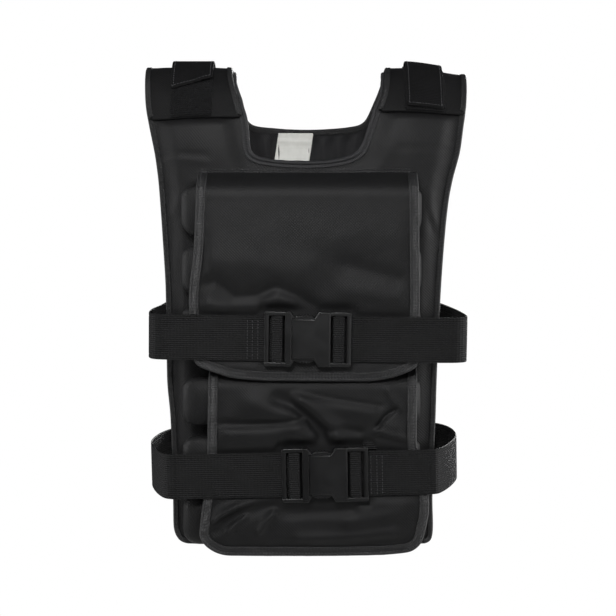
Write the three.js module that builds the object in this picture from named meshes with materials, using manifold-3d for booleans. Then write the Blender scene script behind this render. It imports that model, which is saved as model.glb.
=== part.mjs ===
// Weighted vest in its worn form: padded front and back panels joined over the shoulders, six filled
// pouches in rows under two flaps on the front, and two webbing belts with side release buckles.
// Millimetres, +Z up. The front looks along -Y and +X is on the viewer's right. The origin lies midway
// between the shoulders, at the height where the underside of the straps rests on them.
import * as THREE from "three";
import { mergeVertices } from "three/addons/utils/BufferGeometryUtils.js";
import Module from "manifold-3d";

const wasm = await Module();
wasm.setup();

// Gap between pieces that lie on each other
const clearance = 0.3;

// Body hollow and panels
const hollowDepth = 126; // between the inner faces of the two panels
const archRise = 85; // height of the shoulder arch above the straight part of the panels
const shoulderHalfWidth = 180; // centre to the outer edge of a strap at the crest
const neckHalfWidth = 87; // centre to the inner edge of a strap at the crest
const frontNeckDrop = 99; // crest to the lowest point of the front neckline
const backNeckDrop = 62;
const padding = 10; // thickness of a panel
const shoulderPly = 5; // thickness of each strap where the two lap
const edgeThinning = 0.55; // share of its thickness that a panel keeps at its sewn edge
const sideBend = 10; // how far the panels curve back towards the sides
const bendStart = 110; // distance from the centre where that curve starts
const crestBend = { left: 0, right: 0.75 }; // share of that curve that each strap keeps at its crest
const bendSettles = 0.75; // share of the arch, from the crest down, over which it grows to its full depth
const lapFront = 81; // length of the back strap's lap down the front, along the arch
const lapSlant = 3; // how much longer the left lap is than the right, either side of lapFront
const lapBehind = 30; // how far the front strap reaches behind the crest
const lapTaper = 12; // length over which a strap thins down to its lapped ply
const rowGap = 8; // least distance from a panel's neckline to the next row of its outline

// Pouches and flaps
const flapSeamDrop = 108; // crest to the seam of the upper flap
const pouchInset = 10; // seam of a flap to the top of the first pouch below it
const pouchHeight = 57;
const pouchPitch = 66.5;
const pouchDepth = 30;
const pouchLeft = 138; // centre to the left end of the pouches
const pouchRight = 128;
const pouchesPerFlap = 3;
const seamGap = 12.5; // last pitch under the upper flap to the seam of the lower one
const bodyMargin = 4; // last pouch to the hem of the panels
const flapThickness = 2;
const flapHalfWidth = 123;
const hemBelowBuckle = 16.5; // lower edge of the upper buckle to the hem of the upper flap
const hemBelowPanel = 3.5; // hem of the front panel to that of the lower flap
const flapShoulder = 24; // length over which a flap rises from its seam to the front of the pouches
const foldRise = 5; // height of the strongest fold in a flap
const foldGap = 6; // edge of a belt to where a fold can start
const foldFade = 20; // length over which a fold dies out
const bindingWidth = 10;
const bindingThickness = 1;
const neckBindingThickness = 5.4;

// Shoulder closures
const patchThickness = 1;
const patchWidth = 46;
const patchInset = 1; // end of the lap to the end of its patch
const tabThickness = 2.6;
const tabBehind = 44; // how far a tab and its patch reach behind the crest
const tabLift = 3; // how far a tab stands off its patch at the crest
const closureRowGap = 3; // least distance from the end of a tab or patch to its next row

// Belts
const webWidth = 50;
const webThickness = 1.5;
const upperBeltDrop = 286; // crest to the middle of the belt
const lowerBeltDrop = 436;
const upperBeltSlope = -0.012; // rise across the front
const lowerBeltSlope = 0.02;
const beltInset = 5; // outer edge of the shoulders to the widest point of a belt
const webTail = 30; // length of the doubled end behind a belt, from the buckle's outer bar
const webCorner = 1.2; // bend radius of the webbing round a bar
const beltEndWidth = 16;
const beltEndHeight = 20;
const beltEndGap = 1.5; // end of the lower buckle to the middle of the loose end
const loopSteps = 18; // points along each side of a belt

// Buckles
const upperBuckleCentre = 2;
const lowerBuckleCentre = 21;
const buckleLength = 95;
const buckleHeight = 60;
const buckleThickness = 11;
const buckleWall = 2.4;
const outerBar = 5.3;
const barWidth = 9.5;
const barThickness = 4.6;
const webSlot = 4;
const collarLength = 7;
const notchDepth = 8;
const notchEnd = 59; // outer end of the male part to the end of the notch
const notchSlant = 5;
const latchProud = 3.5; // how far the latch arms stand out into the notches
const latchEntry = 7; // collar to where a latch stands out in full
const latchNose = 8; // from there on the other side to the end of the notch
const armWidth = 6;
const armPlay = 2; // tip of an arm to the end of the notch
const tongueWidth = 10;
const tonguePlay = 1;
const cavityEnd = 63;
const buckleBevel = 1;
const cornerCut = 3;
const overlap = 1; // how far solids that are joined or cut reach into each other

// Care label
const labelWidth = 41;
const labelLength = 44;
const labelLean = 7; // how far its lower end hangs to the left
const labelOffset = -12; // middle of its sewn end
const labelSeam = 2; // neckline to that end
const labelThickness = 1;

// Worked out from the sizes above
const halfHollow = hollowDepth / 2;
const archRun =
  (Math.PI / 4) *
  (3 * (halfHollow + archRise) - Math.sqrt((3 * halfHollow + archRise) * (halfHollow + 3 * archRise)));
const lowerSeamDrop = flapSeamDrop + pouchesPerFlap * pouchPitch + seamGap;
const pouchGap = pouchPitch - pouchHeight;
const bodyDrop = lowerSeamDrop + pouchInset + pouchesPerFlap * pouchPitch - pouchGap + bodyMargin;
const upperFlapLength = upperBeltDrop + buckleHeight / 2 + hemBelowBuckle - flapSeamDrop;
const lowerFlapLength = bodyDrop + hemBelowPanel - lowerSeamDrop;
const lapTop = 2 * shoulderPly + clearance;
const seatLift = padding + clearance; // of what lies on the panel
const flapRise = pouchDepth + bindingThickness + 2 * clearance; // room for the binding behind a flap
const flapFront = -(halfHollow + seatLift + flapRise + flapThickness);
const webFirst = flapFront - clearance - webThickness / 2; // doubled end behind a belt
const webFront = webFirst - webThickness - clearance; // belt across the front
const webBack = halfHollow + padding + clearance + webThickness / 2;
const beltReach = shoulderHalfWidth - beltInset; // centre to the widest point of a belt
const buckleBack = flapFront - clearance; // back face of the buckles
const barBack = 2 * webThickness + 2 * clearance; // that face to the back of their bars
const beltEndOffset = buckleLength / 2 + beltEndGap;

// Outline of the panels: drop is a share of the body's height, left and right of the shoulder half width
const sideEdge = [
  { drop: 0, left: 1, right: 1 },
  { drop: 0.06, left: 0.985, right: 0.985 },
  { drop: 0.105, left: 0.961, right: 0.966 },
  { drop: 0.163, left: 0.928, right: 0.943 },
  { drop: 0.19, left: 0.917, right: 0.922 },
  { drop: 0.222, left: 0.906, right: 0.898 },
  { drop: 0.264, left: 0.897, right: 0.876 },
  { drop: 0.347, left: 0.882, right: 0.852 },
  { drop: 0.46, left: 0.866, right: 0.831 },
  { drop: 0.642, left: 0.862, right: 0.81 },
  { drop: 0.73, left: 0.842, right: 0.804 },
  { drop: 0.906, left: 0.83, right: 0.788 },
  { drop: 0.965, left: 0.829, right: 0.793 },
  { drop: 0.985, left: 0.815, right: 0.79 },
  { drop: 1, left: 0.775, right: 0.776 },
];

// Necklines: drop is a share of the neck's own drop, left and right of the neck half width
const frontNeck = [
  { drop: 0, left: 0.966, right: 1.034 },
  { drop: 0.12, left: 0.94, right: 1.015 },
  { drop: 0.22, left: 0.9, right: 0.995 },
  { drop: 0.38, left: 0.845, right: 0.925 },
  { drop: 0.575, left: 0.785, right: 0.85 },
  { drop: 0.68, left: 0.777, right: 0.805 },
  { drop: 0.77, left: 0.768, right: 0.77 },
  { drop: 0.85, left: 0.753, right: 0.72 },
  { drop: 0.91, left: 0.7, right: 0.635 },
  { drop: 0.95, left: 0.605, right: 0.525 },
  { drop: 0.975, left: 0.45, right: 0.39 },
  { drop: 0.993, left: 0.23, right: 0.2 },
  { drop: 1, left: 0, right: 0 },
];
const backNeck = [
  { drop: 0, left: 0.966, right: 1.034 },
  { drop: 0.3, left: 0.9, right: 0.97 },
  { drop: 0.6, left: 0.845, right: 0.88 },
  { drop: 0.8, left: 0.805, right: 0.815 },
  { drop: 0.89, left: 0.76, right: 0.76 },
  { drop: 0.93, left: 0.69, right: 0.67 },
  { drop: 0.965, left: 0.46, right: 0.48 },
  { drop: 0.99, left: 0.23, right: 0.23 },
  { drop: 1, left: 0, right: 0 },
];

// Side edges of the flaps: down is a share of the flap's length, left and right of the flap half width
const upperFlapEdge = [
  { down: 0, left: 0.955, right: 0.985 },
  { down: 0.4, left: 0.985, right: 0.995 },
  { down: 0.65, left: 1.03, right: 1 },
  { down: 1, left: 0.985, right: 0.99 },
];
const lowerFlapEdge = [
  { down: 0, left: 0.86, right: 0.985 },
  { down: 0.42, left: 0.872, right: 0.98 },
  { down: 0.62, left: 0.875, right: 1.08 },
  { down: 0.8, left: 0.92, right: 1.096 },
  { down: 1, left: 0.955, right: 1.04 },
];

// Hems of the flaps: across runs from 0 at the left edge to 1, up is a share of the flap's length
const upperHem = [
  { across: 0, up: 0.08 },
  { across: 0.08, up: 0.046 },
  { across: 0.18, up: 0.014 },
  { across: 0.36, up: 0.002 },
  { across: 0.78, up: 0 },
  { across: 0.88, up: 0.016 },
  { across: 0.95, up: 0.042 },
  { across: 1, up: 0.07 },
];
const lowerHem = [
  { across: 0, up: 0.1 },
  { across: 0.03, up: 0.05 },
  { across: 0.07, up: 0.02 },
  { across: 0.12, up: 0.002 },
  { across: 0.5, up: 0 },
  { across: 0.8, up: 0.005 },
  { across: 0.95, up: 0.022 },
  { across: 1, up: 0.07 },
];

// Folds: middle (across as a share of the flap half width, down of the flap's length), half length and
// half width as shares of the flap half width, turn in degrees anticlockwise, rise as a share of foldRise
const upperFolds = [
  { across: -0.72, down: 0.54, long: 0.3, wide: 0.07, turn: 8, rise: 0.9 },
  { across: -0.28, down: 0.52, long: 0.25, wide: 0.07, turn: -8, rise: 0.7 },
  { across: 0.57, down: 0.45, long: 0.36, wide: 0.09, turn: 8, rise: 0.8 },
  { across: 0.1, down: 0.56, long: 0.2, wide: 0.06, turn: -14, rise: 0.6 },
];
const lowerFolds = [
  { across: 0.26, down: 0.16, long: 0.4, wide: 0.05, turn: -9, rise: 0.6 },
  { across: 0, down: 0.27, long: 0.26, wide: 0.06, turn: -48, rise: 1 },
  { across: 0.7, down: 0.26, long: 0.14, wide: 0.05, turn: 45, rise: 0.8 },
  { across: -0.45, down: 0.29, long: 0.36, wide: 0.07, turn: 0, rise: 0.6 },
  { across: -0.7, down: 0.8, long: 0.24, wide: 0.05, turn: 25, rise: 0.8 },
  { across: -0.32, down: 0.83, long: 0.13, wide: 0.05, turn: 55, rise: 0.7 },
];

// Sides of the belts in plan: out is a share of beltReach, back runs from 0 at the front to 1 at the back
const upperLeftLoop = [
  { out: 0.83, back: 0 },
  { out: 0.94, back: 0.02 },
  { out: 0.985, back: 0.1 },
  { out: 0.985, back: 0.3 },
  { out: 0.95, back: 0.52 },
  { out: 0.925, back: 0.76 },
  { out: 0.915, back: 0.91 },
  { out: 0.88, back: 0.98 },
  { out: 0.78, back: 1 },
];
const upperRightLoop = [
  { out: 0.84, back: 0 },
  { out: 0.96, back: 0.02 },
  { out: 1.01, back: 0.1 },
  { out: 0.99, back: 0.36 },
  { out: 0.95, back: 0.6 },
  { out: 0.9, back: 0.84 },
  { out: 0.85, back: 0.96 },
  { out: 0.74, back: 1 },
];
const lowerLeftLoop = [
  { out: 0.83, back: 0 },
  { out: 0.9, back: 0.05 },
  { out: 0.97, back: 0.25 },
  { out: 1.01, back: 0.5 },
  { out: 0.98, back: 0.76 },
  { out: 0.9, back: 0.94 },
  { out: 0.76, back: 1 },
];
const lowerRightLoop = [
  { out: 0.785, back: 0 },
  { out: 0.845, back: 0.04 },
  { out: 0.93, back: 0.25 },
  { out: 0.985, back: 0.5 },
  { out: 0.97, back: 0.76 },
  { out: 0.89, back: 0.94 },
  { out: 0.74, back: 1 },
];

// The two shoulder closures: middle as a share of the strap's width from its inner edge, the tab's width as
// a share of the patch's, and its reach down the front at its outer and inner corner as shares of lapFront
const closures = [
  { name: "left", side: -1, middle: 0.448, width: 1.022, outerEnd: 0.654, innerEnd: 0.531 },
  { name: "right", side: 1, middle: 0.467, width: 0.913, outerEnd: 0.926, innerEnd: 0.914 },
];

// Materials
const cloth = new THREE.MeshStandardMaterial({ color: 0x232323, roughness: 0.85, metalness: 0 });
const binding = new THREE.MeshStandardMaterial({ color: 0x2c2c2c, roughness: 0.7, metalness: 0 });
const loopPile = new THREE.MeshStandardMaterial({ color: 0x161616, roughness: 1, metalness: 0 });
const webbing = new THREE.MeshStandardMaterial({ color: 0x1e1e1e, roughness: 0.75, metalness: 0 });
const plastic = new THREE.MeshStandardMaterial({ color: 0x1b1b1b, roughness: 0.4, metalness: 0 });
const labelCloth = new THREE.MeshStandardMaterial({ color: 0xd5d5d0, roughness: 0.8, metalness: 0 });

const vest = new THREE.Group();

function add(name, geometry, material) {
  const mesh = new THREE.Mesh(geometry, material);
  mesh.name = name;
  vest.add(mesh);
  return mesh;
}

// Value of one column of a table at a place along another, on straight lines between the rows
function along(table, key, place, column) {
  const next = table.findIndex((row) => row[key] >= place);
  if (next <= 0) return table[next === 0 ? 0 : table.length - 1][column];
  const before = table[next - 1];
  const after = table[next];
  const share = (place - before[key]) / (after[key] - before[key]);
  return THREE.MathUtils.lerp(before[column], after[column], share);
}

// Closed geometry from points and triangles, turned so that its faces point out
function closedGeometry(points, triangles) {
  let volume = 0;
  for (const [a, b, c] of triangles) {
    volume += points[a].dot(points[b].clone().cross(points[c]));
  }
  const turned = volume < 0 ? triangles.map(([a, b, c]) => [a, c, b]) : triangles;
  const geometry = new THREE.BufferGeometry().setFromPoints(points);
  geometry.setIndex(turned.flat());
  return geometry;
}

// Solid sheet over patches of pattern cloth. A patch has rows of [across, along] points, patches share the
// points where they meet, and place(across, along, face) gives the point in space on face 0 or 1.
function sheetSolid(patches, place) {
  const pattern = [];
  const numbers = new Map();
  const numberOf = (point) => {
    const key = point.map((value) => value.toFixed(3)).join(" ");
    if (!numbers.has(key)) {
      numbers.set(key, pattern.length);
      pattern.push(point);
    }
    return numbers.get(key);
  };
  const flat = [];
  for (const rows of patches) {
    const grid = rows.map((row) => row.map(numberOf));
    for (let i = 1; i < grid.length; i += 1) {
      for (let j = 1; j < grid[i].length; j += 1) {
        const [a, b, c, d] = [grid[i - 1][j - 1], grid[i - 1][j], grid[i][j], grid[i][j - 1]];
        flat.push([a, b, c], [a, c, d]);
      }
    }
  }
  const whole = flat.filter(([a, b, c]) => a !== b && b !== c && a !== c);
  const edges = new Set(whole.flatMap(([a, b, c]) => [`${a} ${b}`, `${b} ${c}`, `${c} ${a}`]));
  const count = pattern.length;
  const points = [0, 1].flatMap((face) => pattern.map((point) => place(point[0], point[1], face)));
  const triangles = whole.flatMap(([a, b, c]) => [
    [a, b, c],
    [a + count, c + count, b + count],
  ]);
  for (const edge of edges) {
    const [a, b] = edge.split(" ").map(Number);
    if (!edges.has(`${b} ${a}`)) triangles.push([b, a, a + count], [b, a + count, b + count]);
  }
  return closedGeometry(points, triangles);
}

// Solid swept through rings of points, all of the same length, with flat ends
function ringSolid(rings) {
  const size = rings[0].length;
  const points = rings.flat();
  const triangles = [];
  for (let i = 1; i < rings.length; i += 1) {
    for (let j = 0; j < size; j += 1) {
      const next = (j + 1) % size;
      const [a, b] = [(i - 1) * size + j, (i - 1) * size + next];
      const [c, d] = [i * size + next, i * size + j];
      triangles.push([a, b, c], [a, c, d]);
    }
  }
  return { points, triangles, size };
}

function capped({ points, triangles, size }, section) {
  const cap = THREE.ShapeUtils.triangulateShape(section, []);
  const last = points.length - size;
  // The caps turn the other way from each other, and against the sides that they close
  const sectionTurns = THREE.ShapeUtils.area(section) > 0;
  for (const [a, b, c] of cap) {
    const [p, q] = sectionTurns ? [c, b] : [b, c];
    triangles.push([a, p, q], [last + a, last + q, last + p]);
  }
  return closedGeometry(points, triangles);
}

// Point beside a polyline, to the left of its corner i, where a sweep along it has its own corner
const longestMiter = 1.43; // how much further out a sharp corner may reach
function besideLine(points, i, left) {
  const point = points[i];
  const one = point.clone().sub(points[Math.max(i - 1, 0)]).normalize();
  const two = points[Math.min(i + 1, points.length - 1)].clone().sub(point).normalize();
  const way = one.add(two).normalize();
  const atEnd = i === 0 || i === points.length - 1;
  const reach = atEnd ? left : left * Math.min(1 / way.dot(two), longestMiter);
  return new THREE.Vector2(point.x - way.y * reach, point.y + way.x * reach);
}

// Sweep of a section along an edge drawn on pattern cloth. The section is [inward, lift], inward being the
// distance from the edge towards its left hand side, and place(across, along, lift) gives the point.
function edgeSolid(edge, section, place) {
  const line = edge.map((point) => new THREE.Vector2(...point));
  const rings = line.map((_, i) =>
    section.map(([inward, lift]) => place(...besideLine(line, i, inward), lift)),
  );
  return capped(
    ringSolid(rings),
    section.map(([p, q]) => new THREE.Vector2(p, q)),
  );
}

const handOf = (side) => (side < 0 ? "left" : "right");

// Side profile of the hollow: straight down the front, over the shoulder in half an ellipse and straight
// down the back. run is the distance from the crest, negative to the front; lift is measured outwards.
function bodyPoint(x, run, lift) {
  const away = Math.min(Math.abs(run) / archRun, 1) * (Math.PI / 2);
  const side = Math.sign(run) || 1;
  const below = Math.max(Math.abs(run) - archRun, 0);
  const outward = new THREE.Vector2(Math.sin(away) / halfHollow, Math.cos(away) / archRise).normalize();
  const share = THREE.MathUtils.smoothstep(Math.abs(x), bendStart, shoulderHalfWidth);
  const settled = THREE.MathUtils.smoothstep(Math.abs(run), 0, bendSettles * archRun);
  const height = lift - sideBend * share * THREE.MathUtils.lerp(crestBend[handOf(x)], 1, settled);
  return new THREE.Vector3(
    x,
    side * (halfHollow * Math.sin(away) + outward.x * height),
    -archRise * (1 - Math.cos(away)) - below + outward.y * height,
  );
}

// Distance along the profile that lies a given drop below the crest
function runAt(drop) {
  if (drop >= archRise) return archRun + drop - archRise;
  return (Math.acos(1 - drop / archRise) * archRun) / (Math.PI / 2);
}

function dropAt(run) {
  const length = Math.abs(run);
  if (length >= archRun) return archRise + length - archRun;
  return archRise * (1 - Math.cos((length / archRun) * (Math.PI / 2)));
}

function outerEdge(side, run) {
  return along(sideEdge, "drop", dropAt(run) / bodyDrop, handOf(side)) * shoulderHalfWidth;
}

function innerEdge(side, run) {
  const [table, neckDrop] = run < 0 ? [frontNeck, frontNeckDrop] : [backNeck, backNeckDrop];
  const share = dropAt(run) / neckDrop;
  return share >= 1 ? 0 : along(table, "drop", share, handOf(side)) * neckHalfWidth;
}

// Half of a panel as rows of pattern points, always from lower to higher x
const panelColumns = [0, 0.08, 0.25, 0.55, 0.85, 1];

function panelHalf(side, runs) {
  return runs.map((run) => {
    const outer = outerEdge(side, run);
    const inner = innerEdge(side, run);
    const row = panelColumns.map((share) => [side * THREE.MathUtils.lerp(outer, inner, share), run]);
    return side < 0 ? row : row.toReversed();
  });
}

// Share of its full thickness that a panel has at a point: it thins towards its sewn edges
const hemRun = runAt(bodyDrop);

function fullness(x, run) {
  const side = x < 0 ? -1 : 1;
  const toOuter = outerEdge(side, run) - Math.abs(x);
  const belowNeck = Math.abs(run) - runAt(run < 0 ? frontNeckDrop : backNeckDrop);
  const toNeck = Math.max(Math.abs(x) - innerEdge(side, run), belowNeck);
  const near = Math.min(toOuter, toNeck, hemRun - Math.abs(run));
  return THREE.MathUtils.lerp(edgeThinning, 1, THREE.MathUtils.smoothstep(near, 0, padding));
}

// Runs where both panels have a row of points, so that the lapped straps lie parallel
const lapEnds = [lapFront - lapSlant, lapFront + lapSlant];
const lapSteps = 8;
const lapRuns = [
  -lapEnds[1],
  ...Array.from({ length: lapSteps + 1 }, (_, i) => (-lapEnds[0] * i) / lapSteps),
  lapBehind / 3,
  (lapBehind * 2) / 3,
  lapBehind,
];
const sorted = (runs) => runs.toSorted((a, b) => a - b);

// Rows of a panel below the straps: the rest of its neckline, the heights of its outline and two more
const extraRows = [0.55, 0.82]; // as shares of the body's height

function lowerRuns(neck, neckDrop, from) {
  const beside = neck.map((row) => row.drop * neckDrop);
  const outline = [...sideEdge.map((row) => row.drop), ...extraRows].map((share) => share * bodyDrop);
  const below = outline.filter((drop) => drop > neckDrop + rowGap);
  return [...beside, ...below].map(runAt).filter((run) => run > from + rowGap / 2);
}

// Front panel: its straps end behind the crest, under those of the back panel
const taperEnd = lapEnds[1] + lapTaper;
const frontRuns = sorted([
  ...lowerRuns(frontNeck, frontNeckDrop, lapEnds[1]).map((run) => -run),
  -taperEnd,
  ...lapRuns,
]);

function frontLift(x, run) {
  const lapped = THREE.MathUtils.smoothstep(-run, lapEnds[1], taperEnd);
  const full = padding * fullness(x, run);
  return Math.min(THREE.MathUtils.lerp(shoulderPly, padding, lapped), Math.max(full, shoulderPly));
}

add(
  "front_panel",
  sheetSolid([panelHalf(-1, frontRuns), panelHalf(1, frontRuns)], (x, run, face) =>
    bodyPoint(x, run, face ? frontLift(x, run) : 0),
  ),
  cloth,
);

// Back panel: its straps come over the crest and lap down the front
const behindLap = [lapBehind + clearance, lapBehind + lapTaper];

function backRuns(side) {
  const end = lapFront - side * lapSlant;
  const runs = [...lapRuns.filter((run) => run >= -end), ...behindLap];
  return sorted([...runs, ...lowerRuns(backNeck, backNeckDrop, behindLap[1])]);
}

function backLifts(x, run) {
  const lapped = THREE.MathUtils.smoothstep(run, behindLap[0], behindLap[1]);
  const inside = THREE.MathUtils.lerp(shoulderPly + clearance, 0, lapped);
  const outside = THREE.MathUtils.lerp(lapTop, padding, lapped);
  const full = inside + (outside - inside) * (run < 0 ? 1 : fullness(x, run));
  return [inside, full];
}

add(
  "back_panel",
  sheetSolid([panelHalf(-1, backRuns(-1)), panelHalf(1, backRuns(1))], (x, run, face) =>
    bodyPoint(x, run, backLifts(x, run)[face]),
  ),
  cloth,
);

// Round binding along the front neckline, from crest to crest, seated against the cut edge of the panel
const neckRuns = frontRuns.filter((run) => run <= 0 && run > clearance - runAt(frontNeckDrop));
const neckLine = (side) => neckRuns.map((run) => [side * innerEdge(side, run), run]);

const neckRadius = neckBindingThickness / 2;
const neckSides = 6;
const neckSection = Array.from({ length: neckSides }, (_, i) => {
  const angle = (i * 2 * Math.PI) / neckSides;
  return [
    neckRadius + clearance + neckRadius * Math.cos(angle),
    shoulderPly / 2 + neckRadius * Math.sin(angle),
  ];
});
add(
  "neck_binding",
  edgeSolid(
    [...neckLine(-1).toReversed(), [0, -runAt(frontNeckDrop)], ...neckLine(1)],
    neckSection,
    bodyPoint,
  ),
  binding,
);

// Pouches: rounded bars across the front, narrower and shallower towards their ends
const pouchStations = [
  { across: 0, tall: 0.72, deep: 0.5 },
  { across: 0.012, tall: 0.86, deep: 0.74 },
  { across: 0.035, tall: 0.96, deep: 0.92 },
  { across: 0.08, tall: 1, deep: 1 },
  { across: 0.36, tall: 1, deep: 0.97 },
  { across: 0.64, tall: 1, deep: 0.97 },
  { across: 0.92, tall: 1, deep: 1 },
  { across: 0.965, tall: 0.96, deep: 0.92 },
  { across: 0.988, tall: 0.86, deep: 0.74 },
  { across: 1, tall: 0.72, deep: 0.5 },
];
const pouchSides = 14;
const pouchSquareness = 0.8; // 1 is an ellipse, less is squarer

function pouch(topDrop) {
  const middle = topDrop + pouchHeight / 2;
  const squared = (value) => Math.sign(value) * Math.abs(value) ** pouchSquareness;
  const section = Array.from({ length: pouchSides }, (_, i) => {
    const angle = (i * 2 * Math.PI) / pouchSides;
    return new THREE.Vector2(squared(Math.cos(angle)), squared(Math.sin(angle)));
  });
  const rings = pouchStations.map((station) => {
    const x = THREE.MathUtils.lerp(-pouchLeft, pouchRight, station.across);
    const depth = pouchDepth * station.deep;
    const height = pouchHeight * station.tall;
    return section.map((point) => {
      const lift = seatLift + (depth * (1 + point.y)) / 2;
      return new THREE.Vector3(x, -(halfHollow + lift), -middle + (height * point.x) / 2);
    });
  });
  return capped(ringSolid(rings), section);
}

for (const [flap, seamDrop] of [flapSeamDrop, lowerSeamDrop].entries()) {
  for (let row = 0; row < pouchesPerFlap; row += 1) {
    const number = flap * pouchesPerFlap + row + 1;
    add(`pouch_${number}`, pouch(seamDrop + pouchInset + row * pouchPitch), cloth);
  }
}

// Distance from a point of a flap to the nearest of its side edges and hem
function toFlapEdge(flap, x, down) {
  const left = -along(flap.edge, "down", down / flap.length, "left") * flapHalfWidth;
  const right = along(flap.edge, "down", down / flap.length, "right") * flapHalfWidth;
  const up = along(flap.hem, "across", (x - left) / (right - left), "up");
  return Math.min(x - left, right - x, flap.length * (1 - up) - down);
}

// Height of a flap's folds, which die out under a belt and at the bound edges
function foldHeight(flap, x, down) {
  const drop = flap.seamDrop + down;
  const toBelt = Math.min(Math.abs(drop - upperBeltDrop), Math.abs(drop - lowerBeltDrop));
  const free = THREE.MathUtils.smoothstep(toBelt - webWidth / 2, foldGap, foldGap + foldFade);
  const shoulder = THREE.MathUtils.smoothstep(down, flapShoulder, 2 * flapShoulder);
  const inside = THREE.MathUtils.smoothstep(toFlapEdge(flap, x, down) - bindingWidth, foldGap / 2, foldFade);
  const height = flap.folds.reduce((sum, fold) => {
    const turn = THREE.MathUtils.degToRad(fold.turn);
    const across = x - fold.across * flapHalfWidth;
    const up = fold.down * flap.length - down;
    const lengthwise = (across * Math.cos(turn) + up * Math.sin(turn)) / (fold.long * flapHalfWidth);
    const crosswise = (up * Math.cos(turn) - across * Math.sin(turn)) / (fold.wide * flapHalfWidth);
    return sum + fold.rise * Math.exp(-(lengthwise ** 2) - crosswise ** 2);
  }, 0);
  return foldRise * Math.min(height, 1) * free * shoulder * inside;
}

// A flap leaves the panel at its seam, rises over the first pouch and hangs down the front of the rest
const flapCurve = 2.4; // how steeply it starts its rise

function flapPoint(flap, x, down, lift) {
  const share = THREE.MathUtils.clamp(down / flapShoulder, 0, 1);
  const rise = flapRise * (1 - (1 - share) ** flapCurve);
  const slope = (flapRise * flapCurve * (1 - share) ** (flapCurve - 1)) / flapShoulder;
  const outward = new THREE.Vector2(-slope, 1).normalize();
  const height = seatLift + rise + outward.y * lift + foldHeight(flap, x, down);
  return new THREE.Vector3(x, -(halfHollow + height), -(flap.seamDrop + down + outward.x * lift));
}

// Rows and columns of a flap's pattern, as shares of its length and width
const seamRows = [0, 0.02, 0.045, 0.075, 0.12]; // above the start of its binding
const boundRows = [0.15, 0.19, 0.23, 0.29, 0.35, 0.41, 0.47, 0.53, 0.6, 0.68, 0.76, 0.82, 0.88, 0.94, 1];
const flapRows = [...seamRows, ...boundRows];
const innerColumns = [0.05, 0.1, 0.16, 0.23, 0.3, 0.37, 0.44, 0.5, 0.56, 0.63, 0.7, 0.77, 0.84, 0.9, 0.95];
const flapColumns = [0, ...innerColumns, 1];

function flapPattern(flap, across, share) {
  const left = -along(flap.edge, "down", share, "left") * flapHalfWidth;
  const right = along(flap.edge, "down", share, "right") * flapHalfWidth;
  const up = along(flap.hem, "across", across, "up");
  return [THREE.MathUtils.lerp(left, right, across), share * (1 - up) * flap.length];
}

function addFlap(name, flap) {
  const rows = flapRows.map((share) => flapColumns.map((across) => flapPattern(flap, across, share)));
  add(
    name,
    sheetSolid([rows], (x, down, face) => flapPoint(flap, x, down, face * flapThickness)),
    cloth,
  );
  // The binding is folded round the side edges and the hem
  const outside = clearance + bindingThickness;
  const section = [
    [-outside, -outside],
    [bindingWidth, -outside],
    [bindingWidth, -clearance],
    [-clearance, -clearance],
    [-clearance, flapThickness + clearance],
    [bindingWidth, flapThickness + clearance],
    [bindingWidth, flapThickness + outside],
    [-outside, flapThickness + outside],
  ];
  const edge = [
    ...boundRows.map((share) => flapPattern(flap, 0, share)),
    ...innerColumns.map((across) => flapPattern(flap, across, 1)),
    ...boundRows.toReversed().map((share) => flapPattern(flap, 1, share)),
  ];
  add(
    `${name}_binding`,
    edgeSolid(edge, section.map(([inward, lift]) => [-inward, lift]), (x, down, lift) =>
      flapPoint(flap, x, down, lift),
    ),
    binding,
  );
}

addFlap("upper_flap", {
  seamDrop: flapSeamDrop,
  length: upperFlapLength,
  edge: upperFlapEdge,
  hem: upperHem,
  folds: upperFolds,
});
addFlap("lower_flap", {
  seamDrop: lowerSeamDrop,
  length: lowerFlapLength,
  edge: lowerFlapEdge,
  hem: lowerHem,
  folds: lowerFolds,
});

// Shoulder closures: a loop patch on the lap, and the tab that lies over it
const closureColumns = [0, 0.35, 0.7, 1];

for (const closure of closures) {
  const patchTop = lapTop + clearance + patchThickness;
  const patchEnd = lapFront - closure.side * lapSlant - patchInset;
  const strap = [innerEdge(closure.side, 0), outerEdge(closure.side, 0)];
  const middle = THREE.MathUtils.lerp(...strap, closure.middle);
  const strip = (width, outerEnd, innerEnd) => {
    const first = closureRowGap - Math.min(outerEnd, innerEnd);
    const shared = sorted([...lapRuns, ...behindLap]).filter((run) => run > first);
    return [null, ...shared, tabBehind].map((run) =>
      closureColumns.map((across) => [
        closure.side * (middle + (across - 0.5) * width),
        run ?? -THREE.MathUtils.lerp(innerEnd, outerEnd, across),
      ]),
    );
  };
  const tabEnds = [closure.outerEnd * lapFront, closure.innerEnd * lapFront];
  add(
    `shoulder_patch_${closure.name}`,
    sheetSolid([strip(patchWidth, patchEnd, patchEnd)], (x, run, face) =>
      bodyPoint(x, run, face ? patchTop : lapTop + clearance),
    ),
    loopPile,
  );
  add(
    `shoulder_tab_${closure.name}`,
    sheetSolid([strip(closure.width * patchWidth, ...tabEnds)], (x, run, face) => {
      const off = tabLift * Math.cos(Math.min(Math.abs(run) / tabBehind, 1) * (Math.PI / 2)) ** 2;
      return bodyPoint(x, run, patchTop + clearance + off + face * tabThickness);
    }),
    webbing,
  );
}

// Blank label sewn inside the back neckline
const labelRows = [0, 0.5, 1].map((down) =>
  [-0.5, 0.5].map((across) => [
    labelOffset + across * labelWidth - labelLean * down,
    runAt(backNeckDrop) + labelSeam + down * labelLength,
  ]),
);
add(
  "care_label",
  sheetSolid([labelRows], (x, run, face) => bodyPoint(x, run, -clearance - face * labelThickness)),
  labelCloth,
);

// Polyline with its corners rounded by short curves
const cornerSteps = 3;

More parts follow.
